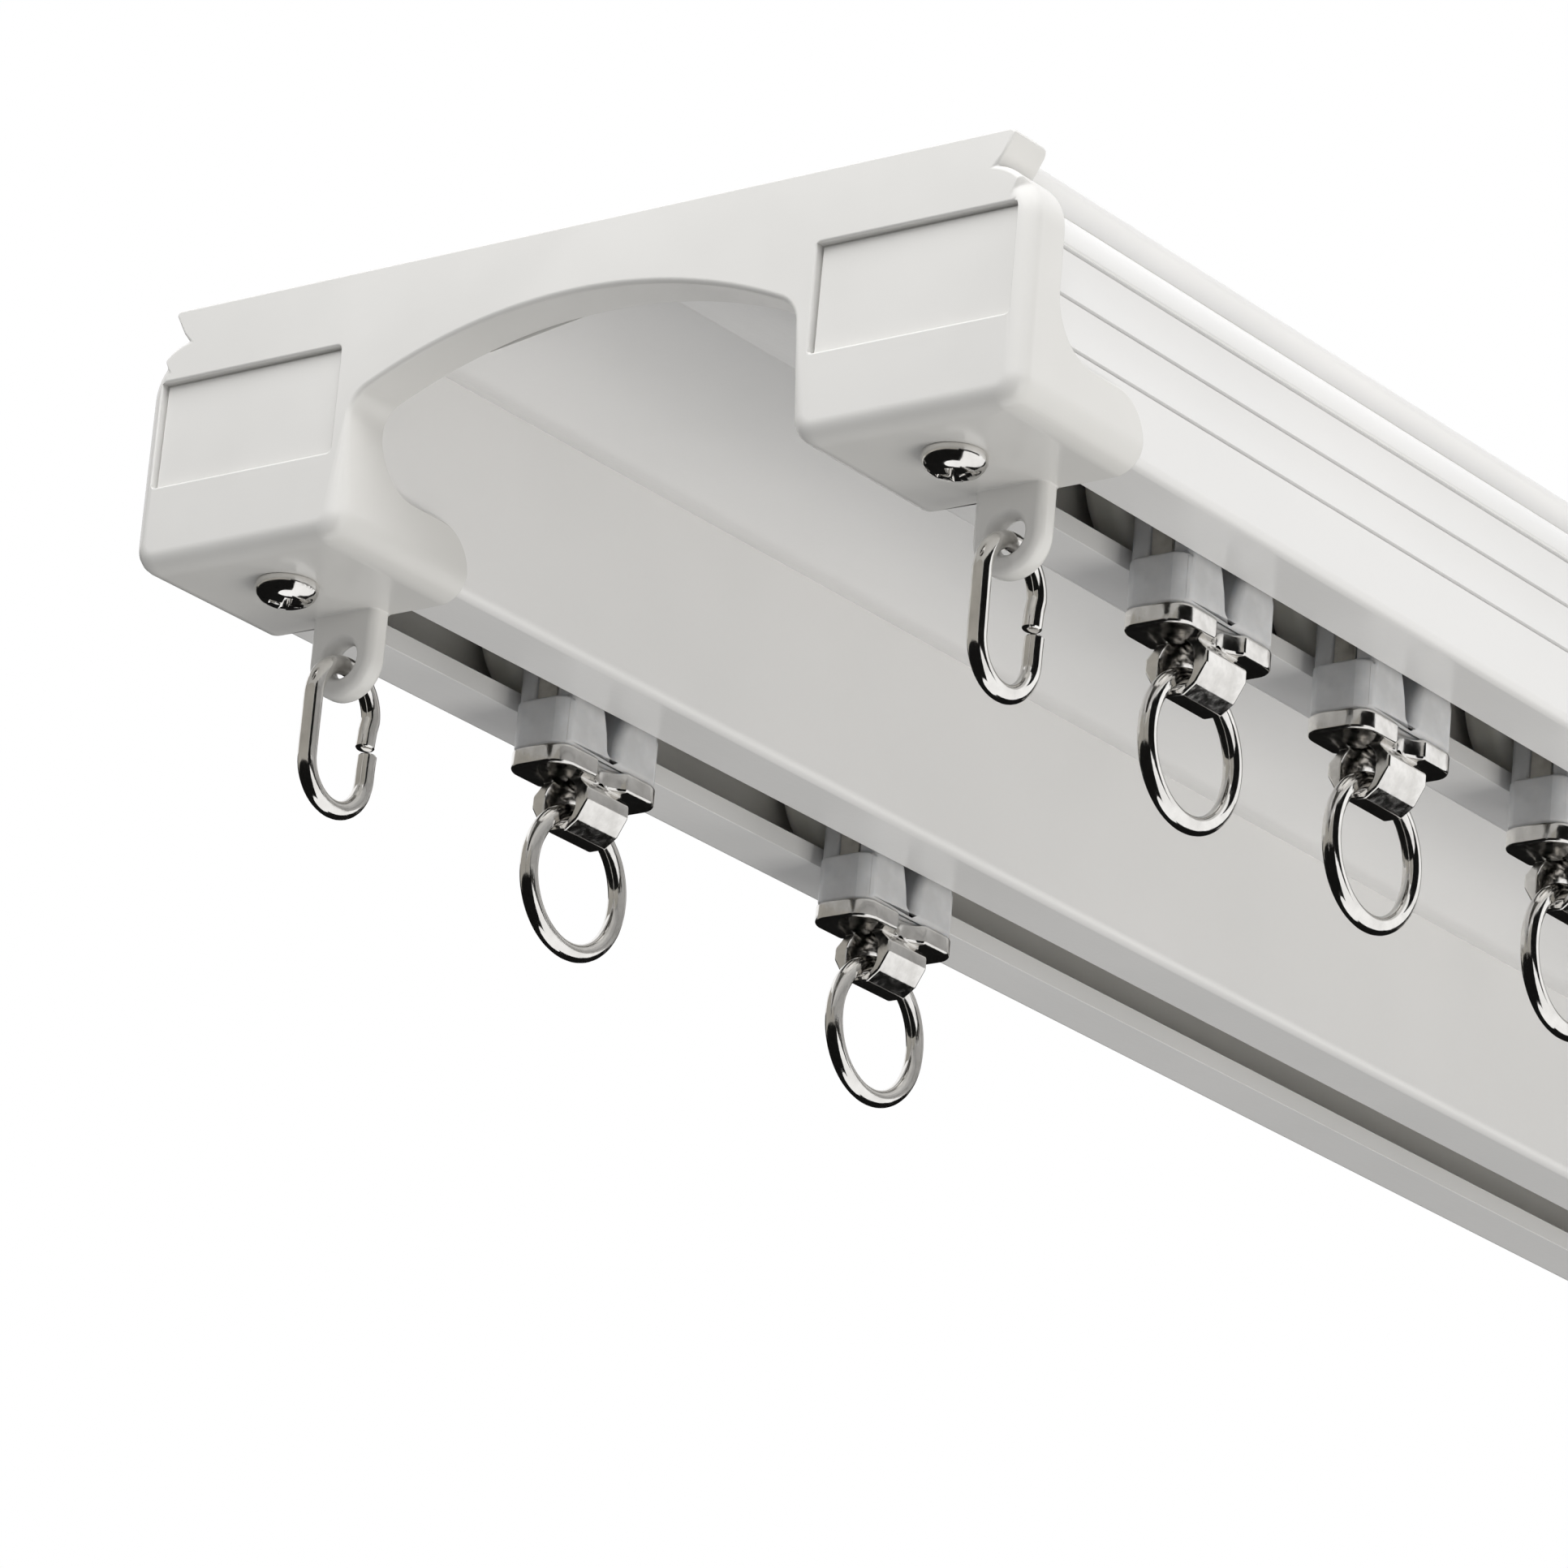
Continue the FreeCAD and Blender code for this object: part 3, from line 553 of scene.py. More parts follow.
def surface(name, tint, gloss, bumps, metallic=0.0):
    """A material whose colour, roughness and relief follow noise.

    A tint is a noise with two near colours, a gloss a noise with two roughnesses, and a bump a noise with
    its depth in millimetres. A noise is a cell size and a detail, and a stretch where it isn't even.
    """
    material, shader = new_material(name)
    tree = material.node_tree
    grain, low, high = tint
    tree.links.new(shade(tree, noise(tree, *grain), low, high), shader.inputs["Base Color"])
    grain, low, high = gloss
    tree.links.new(spread(tree, noise(tree, *grain), low, high), shader.inputs["Roughness"])
    bump(tree, shader, [(noise(tree, *grain), depth) for grain, depth in bumps])
    shader.inputs["Metallic"].default_value = metallic
    return material


def soften(material, weight, reach):
    """Let light spread under a surface, over a reach in millimetres for each colour."""
    shader = material.node_tree.nodes["Principled BSDF"]
    fill(shader, {"Subsurface Weight": weight, "Subsurface Radius": reach, "Subsurface Scale": MM})
    return shader


def powder_coat():
    """Satin white powder coat, with a fine peel and faint draw lines."""
    tint = (30.0, 2.0), (0.825, 0.822, 0.818), (0.855, 0.85, 0.846)
    bumps = ((0.7, 3.0), 0.008), ((1.1, 2.0, DRAWN), 0.01)
    return surface("rail_powder_coat", tint, ((9.0, 2.0), 0.19, 0.26), bumps)


def mill_finish():
    """Bare extruded aluminium inside the channels, dulled by oxide."""
    tint = (6.0, 3.0, (0.05, 1, 1)), (0.70, 0.69, 0.665), (0.80, 0.79, 0.765)
    bumps = [((0.8, 2.0, DRAWN), 0.02)]
    return surface("mill_finish", tint, ((2.0, 3.0), 0.42, 0.55), bumps, metallic=0.35)


def moulded_plastic():
    """Glossy warm white moulded plastic."""
    tint = (14.0, 2.0), (0.745, 0.737, 0.718), (0.775, 0.767, 0.748)
    bumps = ((12.0, 2.0), 0.03), ((0.5, 2.0), 0.001)
    return surface("cap_moulded_plastic", tint, ((5.0, 2.0), 0.19, 0.26), bumps)


def plated_steel():
    """Bright nickel plate with fine marks and a slight wave."""
    tint = (2.5, 4.0), (0.76, 0.745, 0.72), (0.90, 0.885, 0.86)
    bumps = ((1.6, 2.0), 0.02), ((0.25, 3.0), 0.002)
    return surface("nickel_plate", tint, ((0.8, 4.0), 0.05, 0.16), bumps, metallic=1.0)


def cast_plate():
    """Bright plated casting with the grain of the die."""
    tint = (1.8, 4.0), (0.70, 0.685, 0.66), (0.88, 0.865, 0.84)
    bumps = ((1.4, 2.0), 0.02), ((0.35, 4.0, (1, 1, 0.25)), 0.01)
    return surface("plated_casting", tint, ((0.7, 4.0), 0.08, 0.24), bumps, metallic=1.0)


def zinc():
    """Dull zinc with a mottled passivation."""
    tint = (1.5, 5.0), (0.20, 0.20, 0.205), (0.36, 0.36, 0.36)
    return surface("zinc", tint, ((0.5, 4.0), 0.32, 0.52), [((0.4, 4.0), 0.02)], metallic=1.0)


def frosted_nylon():
    """Frosted grey nylon that lets some light through."""
    tint = (3.0, 3.0), (0.55, 0.553, 0.56), (0.65, 0.653, 0.66)
    bumps = ((1.0, 3.0), 0.02), ((0.2, 3.0), 0.004)
    material = surface("frosted_nylon", tint, ((1.2, 3.0), 0.30, 0.42), bumps)
    fill(soften(material, 0.55, (1.6, 1.8, 2.0)), {"IOR": 1.53})
    return material


def wheel_nylon():
    """Solid off-white wheel nylon, polished by running."""
    tint = (4.0, 3.0), (0.77, 0.76, 0.71), (0.83, 0.82, 0.775)
    material = surface("wheel_nylon", tint, ((1.5, 3.0), 0.29, 0.38), [((2.0, 3.0), 0.02)])
    soften(material, 0.25, (1.2, 1.1, 0.9))
    return material


def bearing_steel():
    """Ground bearing steel."""
    tint = (0.8, 4.0), (0.56, 0.56, 0.57), (0.72, 0.72, 0.73)
    return surface("bearing_steel", tint, ((0.4, 4.0), 0.12, 0.24), [((0.3, 3.0), 0.004)], metallic=1.0)


def cage_plastic():
    """Deep blue moulded cage plastic."""
    tint = (0.7, 3.0), (0.005, 0.018, 0.16), (0.012, 0.045, 0.30)
    return surface("cage_plastic", tint, ((0.5, 3.0), 0.29, 0.42), [((0.4, 3.0), 0.02)])


# Rail

def hollow_strip(above, below):
    """The shallow hollow in the rail's side between two of its grooves."""
    points = []
    for number in range(1, STRIP_STEPS):
        share = number / STRIP_STEPS
        points.append((RAIL_SIDE - STRIP_HOLLOW * 4 * share * (1 - share), above + (below - above) * share))
    return points


def bare_inside(mesh, material):
    """Give the channels' inner faces, which stay uncoated, the mill finish."""
    mesh.materials.append(material)
    reach = CHANNEL_WIDTH / 2 - BARE_MARGIN
    for face in mesh.polygons:
        middle = face.center / MM
        centre = Vector((middle.x, math.copysign(CHANNEL, middle.y), FLOOR / 2))
        inward = face.normal.dot((centre - middle).normalized())
        within = abs(abs(middle.y) - CHANNEL) < reach and middle.z > FLOOR + BARE_RISE
        if within and inward > BARE_FACING:
            face.material_index = 1


def channel_inside():
    """The inside of a channel, from its slot's outer edge round to the inner one."""
    inside = SHOULDER - CHANNEL_WALL
    lip_top = FLOOR + LIP
    points = [(CHANNEL + SLOT / 2, FLOOR), (CHANNEL + SLOT / 2, lip_top)]
    points.append((RAIL_SIDE - CHANNEL_WALL, lip_top))
    points += arc(RAIL_SIDE - SHOULDER, -SHOULDER_LOW, inside, 0, 90)
    points += [
        (NECK_SIDE - CHANNEL_WALL, inside - SHOULDER_LOW),
        (NECK_SIDE - CHANNEL_WALL, -ROOF),
        (RAIL_INNER + CHANNEL_WALL, -ROOF),
        (RAIL_INNER + CHANNEL_WALL, lip_top),
        (CHANNEL - SLOT / 2, lip_top),
        (CHANNEL - SLOT / 2, FLOOR),
    ]
    return points


def rail_section():
    """Half of the rail's section, from its hook out and down, through the channel and to the web."""
    half = [(HOOK_SIDE - HOOK_EASE, 0), (HOOK_SIDE, -HOOK_EASE)]
    half += arc(HOOK_SIDE - HOOK_NOSE, -HOOK_NOSE, HOOK_NOSE, 0, -40, FINE_STEP)
    half += [(NECK_SIDE + HOOK_EASE, -HOOK_SLOPE), (NECK_SIDE, -HOOK_SLOPE - NECK_CORNER)]
    half.append((NECK_SIDE, -NECK))
    half += arc(RAIL_SIDE - SHOULDER, -SHOULDER_LOW, SHOULDER, 90, 0)
    above = -SHOULDER_LOW
    bottom = RAIL_SIDE - GROOVE_DEPTH
    for height in reversed(GROOVE_HEIGHTS):
        edge = FLOOR + height + GROOVE_WIDTH / 2
        half += hollow_strip(above, edge)
        above = edge - GROOVE_WIDTH
        half += [(RAIL_SIDE, edge), (bottom, edge - GROOVE_DRAFT), (bottom, above + GROOVE_DRAFT)]
        half.append((RAIL_SIDE, above))
    half += arc(RAIL_SIDE - RAIL_EDGE, FLOOR + RAIL_EDGE, RAIL_EDGE, 0, -90)
    half += channel_inside()
    half += arc(RAIL_INNER + RAIL_EDGE, FLOOR + RAIL_EDGE, RAIL_EDGE, 270, 180)
    half += [(RAIL_INNER - inward, rise - WEB_EDGE) for inward, rise in WEB_HOLLOW]
    half += [(GROOVE_WIDTH, -WEB_MIDDLE), (0, GROOVE_WIDTH / 2 - WEB_MIDDLE)]
    return half


def make_rail(material, bare):
    """The two-channel extrusion with its four ceiling screw bores."""
    piece = prism("rail_extrusion", mirrored(rail_section()), rail_low.x, rail_high.x, "x")
    reach = HALF_LENGTH - CEILING_BORE_INSET
    bore = [(0, -ROOF - PAST), (CEILING_BORE / 2, -ROOF - PAST), (CEILING_BORE / 2, PAST), (0, PAST)]
    for end in (-1, 1):
        for side in (-1, 1):
            drill = lathe("drill", bore, "z", 48)
            drill.location = Vector((end * reach, side * CHANNEL, 0)) * MM
            combine(piece, drill)
    mesh = finished(piece, material, RAIL_EASE, 1)
    bare_inside(mesh, bare)
    put("rail_extrusion", mesh, "track", ["rail"])


# End caps

def box_foot(side):
    """The bottom of a channel box, from its outer corner to its inner one."""
    low = CAP_BOTTOM + CAP_EDGE
    points = arc(HALF_WIDTH - CAP_EDGE, low, CAP_EDGE, 0, -90)
    points += arc(BOX_INNER + CAP_EDGE, low, CAP_EDGE, -90, -180)
    return [(side * x, z) for x, z in points]


def cap_front():
    """The cap's front outline, and how round its edge is at each point."""
    tongue = HOOK_SIDE + TONGUE_REACH
    bend = RAIL_SIDE - SHOULDER
    sweep = HALF_WIDTH - bend
    notch = HOOK_SIDE + CAP_WALL + CAP_FIT
    swing = ARCH_RADIUS - ARCH_BLEND
    side = BOX_INNER - ARCH_BLEND
    start = lean(side, swing)
    rise = ARCH_CENTRE + math.sqrt(swing * swing - side * side)
    stretches = (
        (arc(tongue - TONGUE_ROUND, -TONGUE_ROUND, TONGUE_ROUND, 90, 0, 15), CAP_TOP_ROUND),
        ([(tongue - TONGUE_SLANT, -TONGUE_HEIGHT)], CAP_TOP_ROUND),
        (arc(bend, -SHOULDER_LOW, sweep, lean(notch - bend, sweep), 45), CAP_ARCH_ROUND),
        (arc(bend, -SHOULDER_LOW, sweep, 40, 0), CAP_FRONT_ROUND),
        (box_foot(1), CAP_FRONT_ROUND),
        (arc(side, rise, ARCH_BLEND, 0, start)[:-1], CAP_ARCH_ROUND),
        (arc(0, ARCH_CENTRE, ARCH_RADIUS, start, 90, 1.5), CAP_ARCH_ROUND),
    )
    half = [point for points, radius in stretches for point in points]
    rounds = [radius for points, radius in stretches for point in points]
    return mirrored(half), rounds + rounds[-2::-1]


def cap_cavity():
    """The outline of the space that takes the rail's end and clears the web."""
    bend = RAIL_SIDE - SHOULDER
    inner = RAIL_INNER - CAP_FIT
    swing = SHOULDER + CAP_FIT
    roof = ARCH_RADIUS + CAP_WALL
    half = [(HOOK_SIDE + CAP_FIT, CAP_WALL)]
    half += arc(bend, -SHOULDER_LOW, swing, lean(HOOK_SIDE + CAP_FIT - bend, swing), 0)
    half += [(RAIL_SIDE + CAP_FIT, FLOOR), (inner, FLOOR)]
    half += arc(0, ARCH_CENTRE, roof, lean(inner, roof), 90, 1.5)
    return mirrored(half)


def side_sweep():
    """What is cut from the cap's sides, so that its skirt sweeps down to the deep box."""
    rise = CAP_BOTTOM + CAP_WALL + CAP_SIDE_HEIGHT
    past = CAP_DEPTH + CAP_WALL
    return (
        [(CAP_SKIRT, CAP_WALL)]
        + arc(CAP_SKIRT + CAP_SWEEP, rise + CAP_SWEEP, CAP_SWEEP, 180, 270)
        + arc(CAP_DEPTH - CAP_CORNER, rise - CAP_CORNER, CAP_CORNER, 90, 0)
        + [(past, rise - CAP_CORNER), (past, CAP_WALL)]
    )


def tab_dish(face, inward, side):
    """Half of a tab's bore, dished at the face that it starts from."""
    wide, narrow = TAB_DISH / 2, TAB_BORE / 2
    profile = ((wide + 0.2, -0.2), (wide + 0.1, 0.0), (wide - 0.1, 0.06), (wide - 0.3, 0.25),
               (narrow + 0.15, 0.6), (narrow, 0.9), (narrow, TAB_THICKNESS / 2 + 0.1))
    rings = []
    for radius, depth in profile:
        edge = circle(side * CHANNEL, CAP_BOTTOM - TAB_DROP, radius, FINE_STEP)
        rings.append([along("x", a, b, face + inward * depth) for a, b in edge])
    return skin("dish", rings)


def cap_tab(side):
    """A tab with a round foot and a dished bore for its link."""
    middle = side * CHANNEL
    reach = TAB_WIDTH / 2
    root = CAP_BOTTOM + CAP_WALL / 2
    outline = [(middle - reach, root)]
    outline += arc(middle, CAP_BOTTOM - TAB_DROP, reach, 180, 360)
    outline += [(middle + reach, root)]
    low = CAP_DEPTH - TAB_THICKNESS
    tab = rounded_prism("tab", outline, low, CAP_DEPTH, TAB_EDGE, "x")
    combine(tab, tab_dish(low, 1, side))
    combine(tab, tab_dish(CAP_DEPTH, -1, side))
    return tab


def tongue_end(side):
    """What is cut from a tongue's far upper corner to round it."""
    middle = CAP_SKIRT - TONGUE_END
    outline = arc(middle, -TONGUE_END, TONGUE_END, 90, 0)
    outline += [(CAP_SKIRT + PAST, -TONGUE_END), (CAP_SKIRT + PAST, PAST), (middle, PAST)]
    return prism("tongue_end", outline, side * (HOOK_SIDE + CAP_WALL), side * HALF_WIDTH, "y")


def panel_box(side):
    """A sunk panel's two sides across the track, its foot and its top."""
    middle, low = side * CHANNEL, FLOOR + PANEL_BOTTOM
    return middle - PANEL_WIDTH / 2, middle + PANEL_WIDTH / 2, low, low + PANEL_HEIGHT


def panel(side):
    """The sunk panel on a channel box, deepest at its top and toward +Y."""
    right, left, low, top = panel_box(side)
    outline = sum(corner_arcs((right, low), (left, top), PANEL_CORNER, 30), [])
    rims = [-PANEL_RIM] * len(outline)
    rings = [[along("x", a, b, -PAST) for a, b in inset(outline, rims)]]
    rings += rounded_edge(outline, rims, "x", 0, -1)
    floor = [PANEL_DEPTH - PANEL_RISE * ((left - a) / PANEL_WIDTH + (top - b) / PANEL_HEIGHT) / 2
             for a, b in outline]
    rings.append([along("x", a, b, depth) for (a, b), depth in zip(outline, floor)])
    return skin("panel", rings)


def panel_lines(side):
    """Two narrow lines sunk along a panel's top and its side toward +Y."""
    right, left, low, top = panel_box(side)
    deep = PANEL_DEPTH + PANEL_LINE
    upper = [(left, top), (right, top), (right + PANEL_LINE, top - PANEL_LINE), (left, top - PANEL_LINE)]
    outer = [(left, top), (left, low), (left - PANEL_LINE, low + PANEL_LINE), (left - PANEL_LINE, top)]
    return [prism("panel_line", outline, -PAST, deep, "x") for outline in (upper, outer)]


def cap_body():
    """The cap's plate, skirt and deep boxes, with its tabs and screw bores."""
    outline, rounds = cap_front()
    cap = rounded_prism("end_cap", outline, 0, CAP_SKIRT, rounds, "x", both=False)
    top = CAP_BOTTOM + CAP_WALL + CAP_SIDE_HEIGHT + CAP_SWEEP
    for side in (-1, 1):
        outline = [(side * HALF_WIDTH, top)] + box_foot(side) + [(side * BOX_INNER, top)]
        combine(cap, prism("box", outline, CAP_FRONT_ROUND + BOX_SETBACK, CAP_DEPTH, "x"), "UNION")
    combine(cap, prism("cavity", cap_cavity(), CAP_PLATE, CAP_DEPTH + CAP_WALL, "x"))
    combine(cap, prism("sweep", side_sweep(), -HALF_WIDTH - CAP_WALL, HALF_WIDTH + CAP_WALL, "y"))
    for side in (-1, 1):
        combine(cap, cap_tab(side), "UNION")
        bore = circle(SCREW_INSET, side * CHANNEL, SCREW_SHANK / 2 + SCREW_FIT, FINE_STEP)
        combine(cap, prism("drill", bore, CAP_BOTTOM - PAST, FLOOR + PAST, "z"))
    return cap


def make_caps(material):
    """The near cap, and the same mesh turned round for the far one."""
    cap = cap_body()
    ease(cap, CAP_EASE)
    for side in (-1, 1):
        combine(cap, tongue_end(side))
        combine(cap, panel(side))
        for line in panel_lines(side):
            combine(cap, line)
    mesh = finished(cap, material)
    for end, turn in (("near", 0), ("far", 180)):
        place = (-HALF_LENGTH if end == "near" else HALF_LENGTH, 0, 0)
        put(f"end_cap_{end}_moulding", mesh, "track", [f"end_cap_{end}"], place, (0, 0, turn))


def screw_profile():
    """A cap screw's half section: domed head, ridged shank and eased tip."""
    head, shank = SCREW_HEAD / 2, SCREW_SHANK / 2
    profile = [(radius, -SCREW_HEAD_HEIGHT + drop) for radius, drop in SCREW_DOME]
    profile += [(head, -SCREW_HEAD_SIDE), (head, -SCREW_HEAD_EDGE), (head - SCREW_HEAD_EDGE, 0), (shank, 0)]
    tip = CAP_WALL + LIP + CLAMP_PLATE + THREAD_PAST
    for number in range(int((tip - 2 * THREAD_START) / THREAD_PITCH)):
        low = THREAD_START + number * THREAD_PITCH
        profile += [(shank - THREAD_DEPTH, low), (shank, low + THREAD_PITCH / 2)]
    return profile + [(shank - 0.2, tip - 0.3), (shank - 0.5, tip), (0, tip)]


def cut_recess(screw):
    """Cut a tapered cross into a screw's head."""
    for across in (False, True):
        rings = []
        for rise, long, wide in SCREW_RECESS:
            height = -SCREW_HEAD_HEIGHT - rise
            corners = ((-long, -wide), (long, -wide), (long, wide), (-long, wide))
            rings.append([(b, a, height) if across else (a, b, height) for a, b in corners])
        combine(screw, skin("recess", rings))


def make_screws(material):
    """One pan-head screw under each channel box, each left at a turn of its own."""
    screw = lathe("cap_screw", screw_profile(), "z", 64)
    cut_recess(screw)
    mesh = finished(screw, material, SCREW_EASE, 2)
    for (end, side), angle in SCREW_TURNS.items():
        along_x = (HALF_LENGTH - SCREW_INSET) * (-1 if end == "near" else 1)
        row = "front" if side < 0 else "rear"
        put(f"cap_screw_{end}_{row}", mesh, "track", [f"cap_screws_{end}"],
            (along_x, side * CHANNEL, CAP_BOTTOM), (0, 0, angle))


# Wire parts

def link_path(radius, straight):
    """An oval link's middle line, with two ends that don't quite meet."""
    upper, lower = straight / 2, -straight / 2
    path = [(radius - LINK_STEP, LINK_GAP / 4), (radius - LINK_STEP * 0.6, upper - 1.0)]
    path += arc(0, upper, radius, 0, 180)
    path += arc(0, lower, radius, 180, 360)
    path += [(radius, lower + 0.8), (radius + LINK_STEP * 0.2, -LINK_GAP * 0.6)]
    return path


def make_links(material):
    """Oval split links, one in each tab, turned round in the far cap."""
    low, high = box_mm("split_link_near_front")
    path = link_path((high.x - low.x - WIRE) / 2, (high.z - low.z) - (high.x - low.x))
    middle = (low.z + high.z) / 2
    mesh = finished(wire_tube("split_link", path, False, LINK_TAPER), material)
    for end in ("near", "far"):
        for row in ("front", "rear"):
            name = f"split_link_{end}_{row}"
            low, high = box_mm(name)
            turn = 0 if end == "near" else 180
            put(f"{name}_wire", mesh, name, [name],
                ((low.x + high.x) / 2, (low.y + high.y) / 2, middle), (0, 0, turn))


# Carriers

def corner_arcs(low, high, radius, step=ARC_STEP):
    """The four rounded corners of a rectangle, from the one at its lower right turning left."""
    left, right = low[0] + radius, high[0] - radius
    bottom, top = low[1] + radius, high[1] - radius
    corners = ((right, bottom, 270), (right, top, 0), (left, top, 90), (left, bottom, 180))
    return [arc(x, y, radius, start, start + 90, step) for x, y, start in corners]


def lobe_tool():
    """What rounds the carrier body's upright corners."""
    reach = CARRIER_LENGTH / 2 + LOBE_FIT, CARRIER_THICKNESS / 2 + LOBE_FIT
    plan = sum(corner_arcs((-reach[0], -reach[1]), reach, LOBE_ROUND), [])
    return prism("plan", plan, -HANGER_DROP - PAST, AXLE_HEIGHT + CARRIER_LENGTH / 2, "z")


def window_tool():
    """What is cut from the carrier body between its lobes, flared at both faces."""
    foot = -HANGER_DROP + WINDOW_FOOT
    crown = AXLE_HEIGHT - INNER_RACE_RADIUS - WINDOW_CROWN
    half_window = WINDOW_WIDTH / 2
    half_thick = CARRIER_THICKNESS / 2
    flank = [(x, foot + rise) for x, rise in WINDOW_FLANK]
    window = arc(0, foot + WINDOW_TOE, WINDOW_TOE, 200, 340, 20) + flank
    window += arc(0, crown - half_window, half_window, 0, 180, FINE_STEP)
    window += [(-x, z) for x, z in reversed(flank)]
    rims = [-WINDOW_ROUND] * len(window)
    wide = inset(window, rims)
    rings = [[along("y", a, b, -half_thick - PAST) for a, b in wide]]
    rings += rounded_edge(window, rims, "y", -half_thick, -1)
    rings += reversed(rounded_edge(window, rims, "y", half_thick, 1))
    rings.append([along("y", a, b, half_thick + PAST) for a, b in wide])
    return skin("window", rings)


def make_body_mesh(material):
    """The nylon carrier body about its place on the rail's floor."""
    base_low = -HANGER_DROP
    base_top = base_low + CARRIER_BASE
    half_base, half_waist = CARRIER_LENGTH / 2, CARRIER_WAIST / 2
    half_thick = CARRIER_THICKNESS / 2
    outline = [(-half_waist, base_top), (-half_base, base_top), (-half_base, base_low),
               (half_base, base_low), (half_base, base_top), (half_waist, base_top)]
    outline += arc(0, AXLE_HEIGHT, half_waist, 0, 180)
    body = rounded_prism("carrier_body", outline, -half_thick, half_thick, BODY_ROUND, "y")
    combine(body, lobe_tool(), "INTERSECT")
    boss = prism("boss", circle(0, AXLE_HEIGHT, INNER_RACE_RADIUS), -BOSS_FACE, BOSS_FACE, "y")
    combine(body, boss, "UNION")
    combine(body, window_tool())
    leg = LEG_WIDTH / 2 + LEG_GAP
    depth = LEG_THICKNESS + LEG_GAP + LEG_SEAT
    for side in (-1, 1):
        near, far = side * (half_waist - depth), side * (half_waist + LEG_OPEN)
        slot = [(near, -leg), (far, -leg), (far, leg), (near, leg)]
        combine(body, prism("leg_slot", slot, base_low - PAST, base_low + LEG_HEIGHT + LEG_GAP, "z"))
    bore = prism("bore", circle(0, AXLE_HEIGHT, AXLE_RADIUS), -BOSS_FACE - PAST, BOSS_FACE + PAST, "y")
    combine(body, bore)
    return finished(body, material, BODY_EASE)


def hanger_plate(low, high):
    """The hanger's plate, a rounded rectangle with a scallop in each long side."""
    half_long, half_wide = HANGER_LENGTH / 2, HANGER_WIDTH / 2
    scallop = (SCALLOP_WIDTH ** 2 / 4 + SCALLOP_DEPTH ** 2) / (2 * SCALLOP_DEPTH)
    sweep = math.degrees(math.asin(SCALLOP_WIDTH / 2 / scallop))
    waist = half_wide - SCALLOP_DEPTH + scallop
    corners = corner_arcs((-half_long, -half_wide), (half_long, half_wide), HANGER_ROUND)
    outline = arc(0, -waist, scallop, 90 + sweep, 90 - sweep) + corners[0] + corners[1]
    outline += arc(0, waist, scallop, 270 + sweep, 270 - sweep) + corners[2] + corners[3]
    return rounded_prism("hanger", outline, low, high, PLATE_ROUND, "z")


def hanger_eye(roof):
    """The faceted eye under the plate, with an upright slot that flares to both sides."""
    half = [(reach, roof + rise) for reach, rise in EYE_OUTLINE]
    outline = half + [(-y, z) for y, z in reversed(half)]
    block = rounded_prism("eye", outline, -EYE_LENGTH / 2, EYE_LENGTH / 2, EYE_ROUND, "x")
    rings = []
    for step in range(-EYE_STEPS - 1, EYE_STEPS + 2):
        x = EYE_LENGTH / 2 * step / EYE_STEPS
        flare = EYE_FLARE * min(1.0, step * step / EYE_STEPS ** 2)
        radius = EYE_RADIUS + flare
        low = roof - EYE_FOOT + EYE_RADIUS + flare * EYE_FOOT_FLARE
        hole = arc(0, roof - EYE_ROOF - EYE_RADIUS, radius, 0, 180, FINE_STEP)
        hole += arc(0, low, radius, 180, 360, FINE_STEP)
        rings.append([(x, y, z) for y, z in hole])
    return combine(block, skin("eye_hole", rings))


def make_hanger_mesh(material):
    """The plated hanger: scalloped plate, faceted eye and two legs."""
    top = -HANGER_DROP
    bottom = top - HANGER_THICKNESS
    hanger = hanger_plate(bottom, top)
    combine(hanger, hanger_eye(bottom), "UNION")
    outer_leg = CARRIER_WAIST / 2 - LEG_GAP
    reach = LEG_WIDTH / 2
    for side in (-1, 1):
        near, far = side * (outer_leg - LEG_THICKNESS), side * outer_leg
        leg = [(near, -reach), (far, -reach), (far, reach), (near, reach)]
        combine(hanger, prism("leg", leg, top - 0.5, top + LEG_HEIGHT, "z"), "UNION")
    return finished(hanger, material, HANGER_EASE, 3, HANGER_SHARP)


def tyre_mesh(material):
    """A tyre with round shoulders and a chamfer at each end of its seat."""
    near, far = -WHEEL_WIDTH, 0.0
    tread = WHEEL_RADIUS - WHEEL_SHOULDER
    shoulders = arc(near + WHEEL_SHOULDER, tread, WHEEL_SHOULDER, 180, 90, FINE_STEP)
    shoulders += arc(far - WHEEL_SHOULDER, tread, WHEEL_SHOULDER, 90, 0, FINE_STEP)
    profile = [(RACE_RADIUS, near + SEAT_EDGE), (RACE_RADIUS + SEAT_RIM, near)]
    profile += [(radius, height) for height, radius in shoulders]
    profile += [(RACE_RADIUS + SEAT_RIM, far), (RACE_RADIUS, far - SEAT_EDGE)]
    return finished(lathe("tyre", profile, "y", LATHE_STEPS), material)


def race_mesh(name, inner, outer, near, far, edge, material):
    """A bearing race about Y, with round edges at its near end and chamfers at its far one."""
    bend = edge * 0.3
    profile = [(inner, near + edge), (inner + bend, near + bend), (inner + edge, near),
               (outer - edge, near), (outer - bend, near + bend), (outer, near + edge),
               (outer, far - edge), (outer - edge, far), (inner + edge, far), (inner, far - edge)]
    return finished(lathe(name, profile, "y", LATHE_STEPS), material)


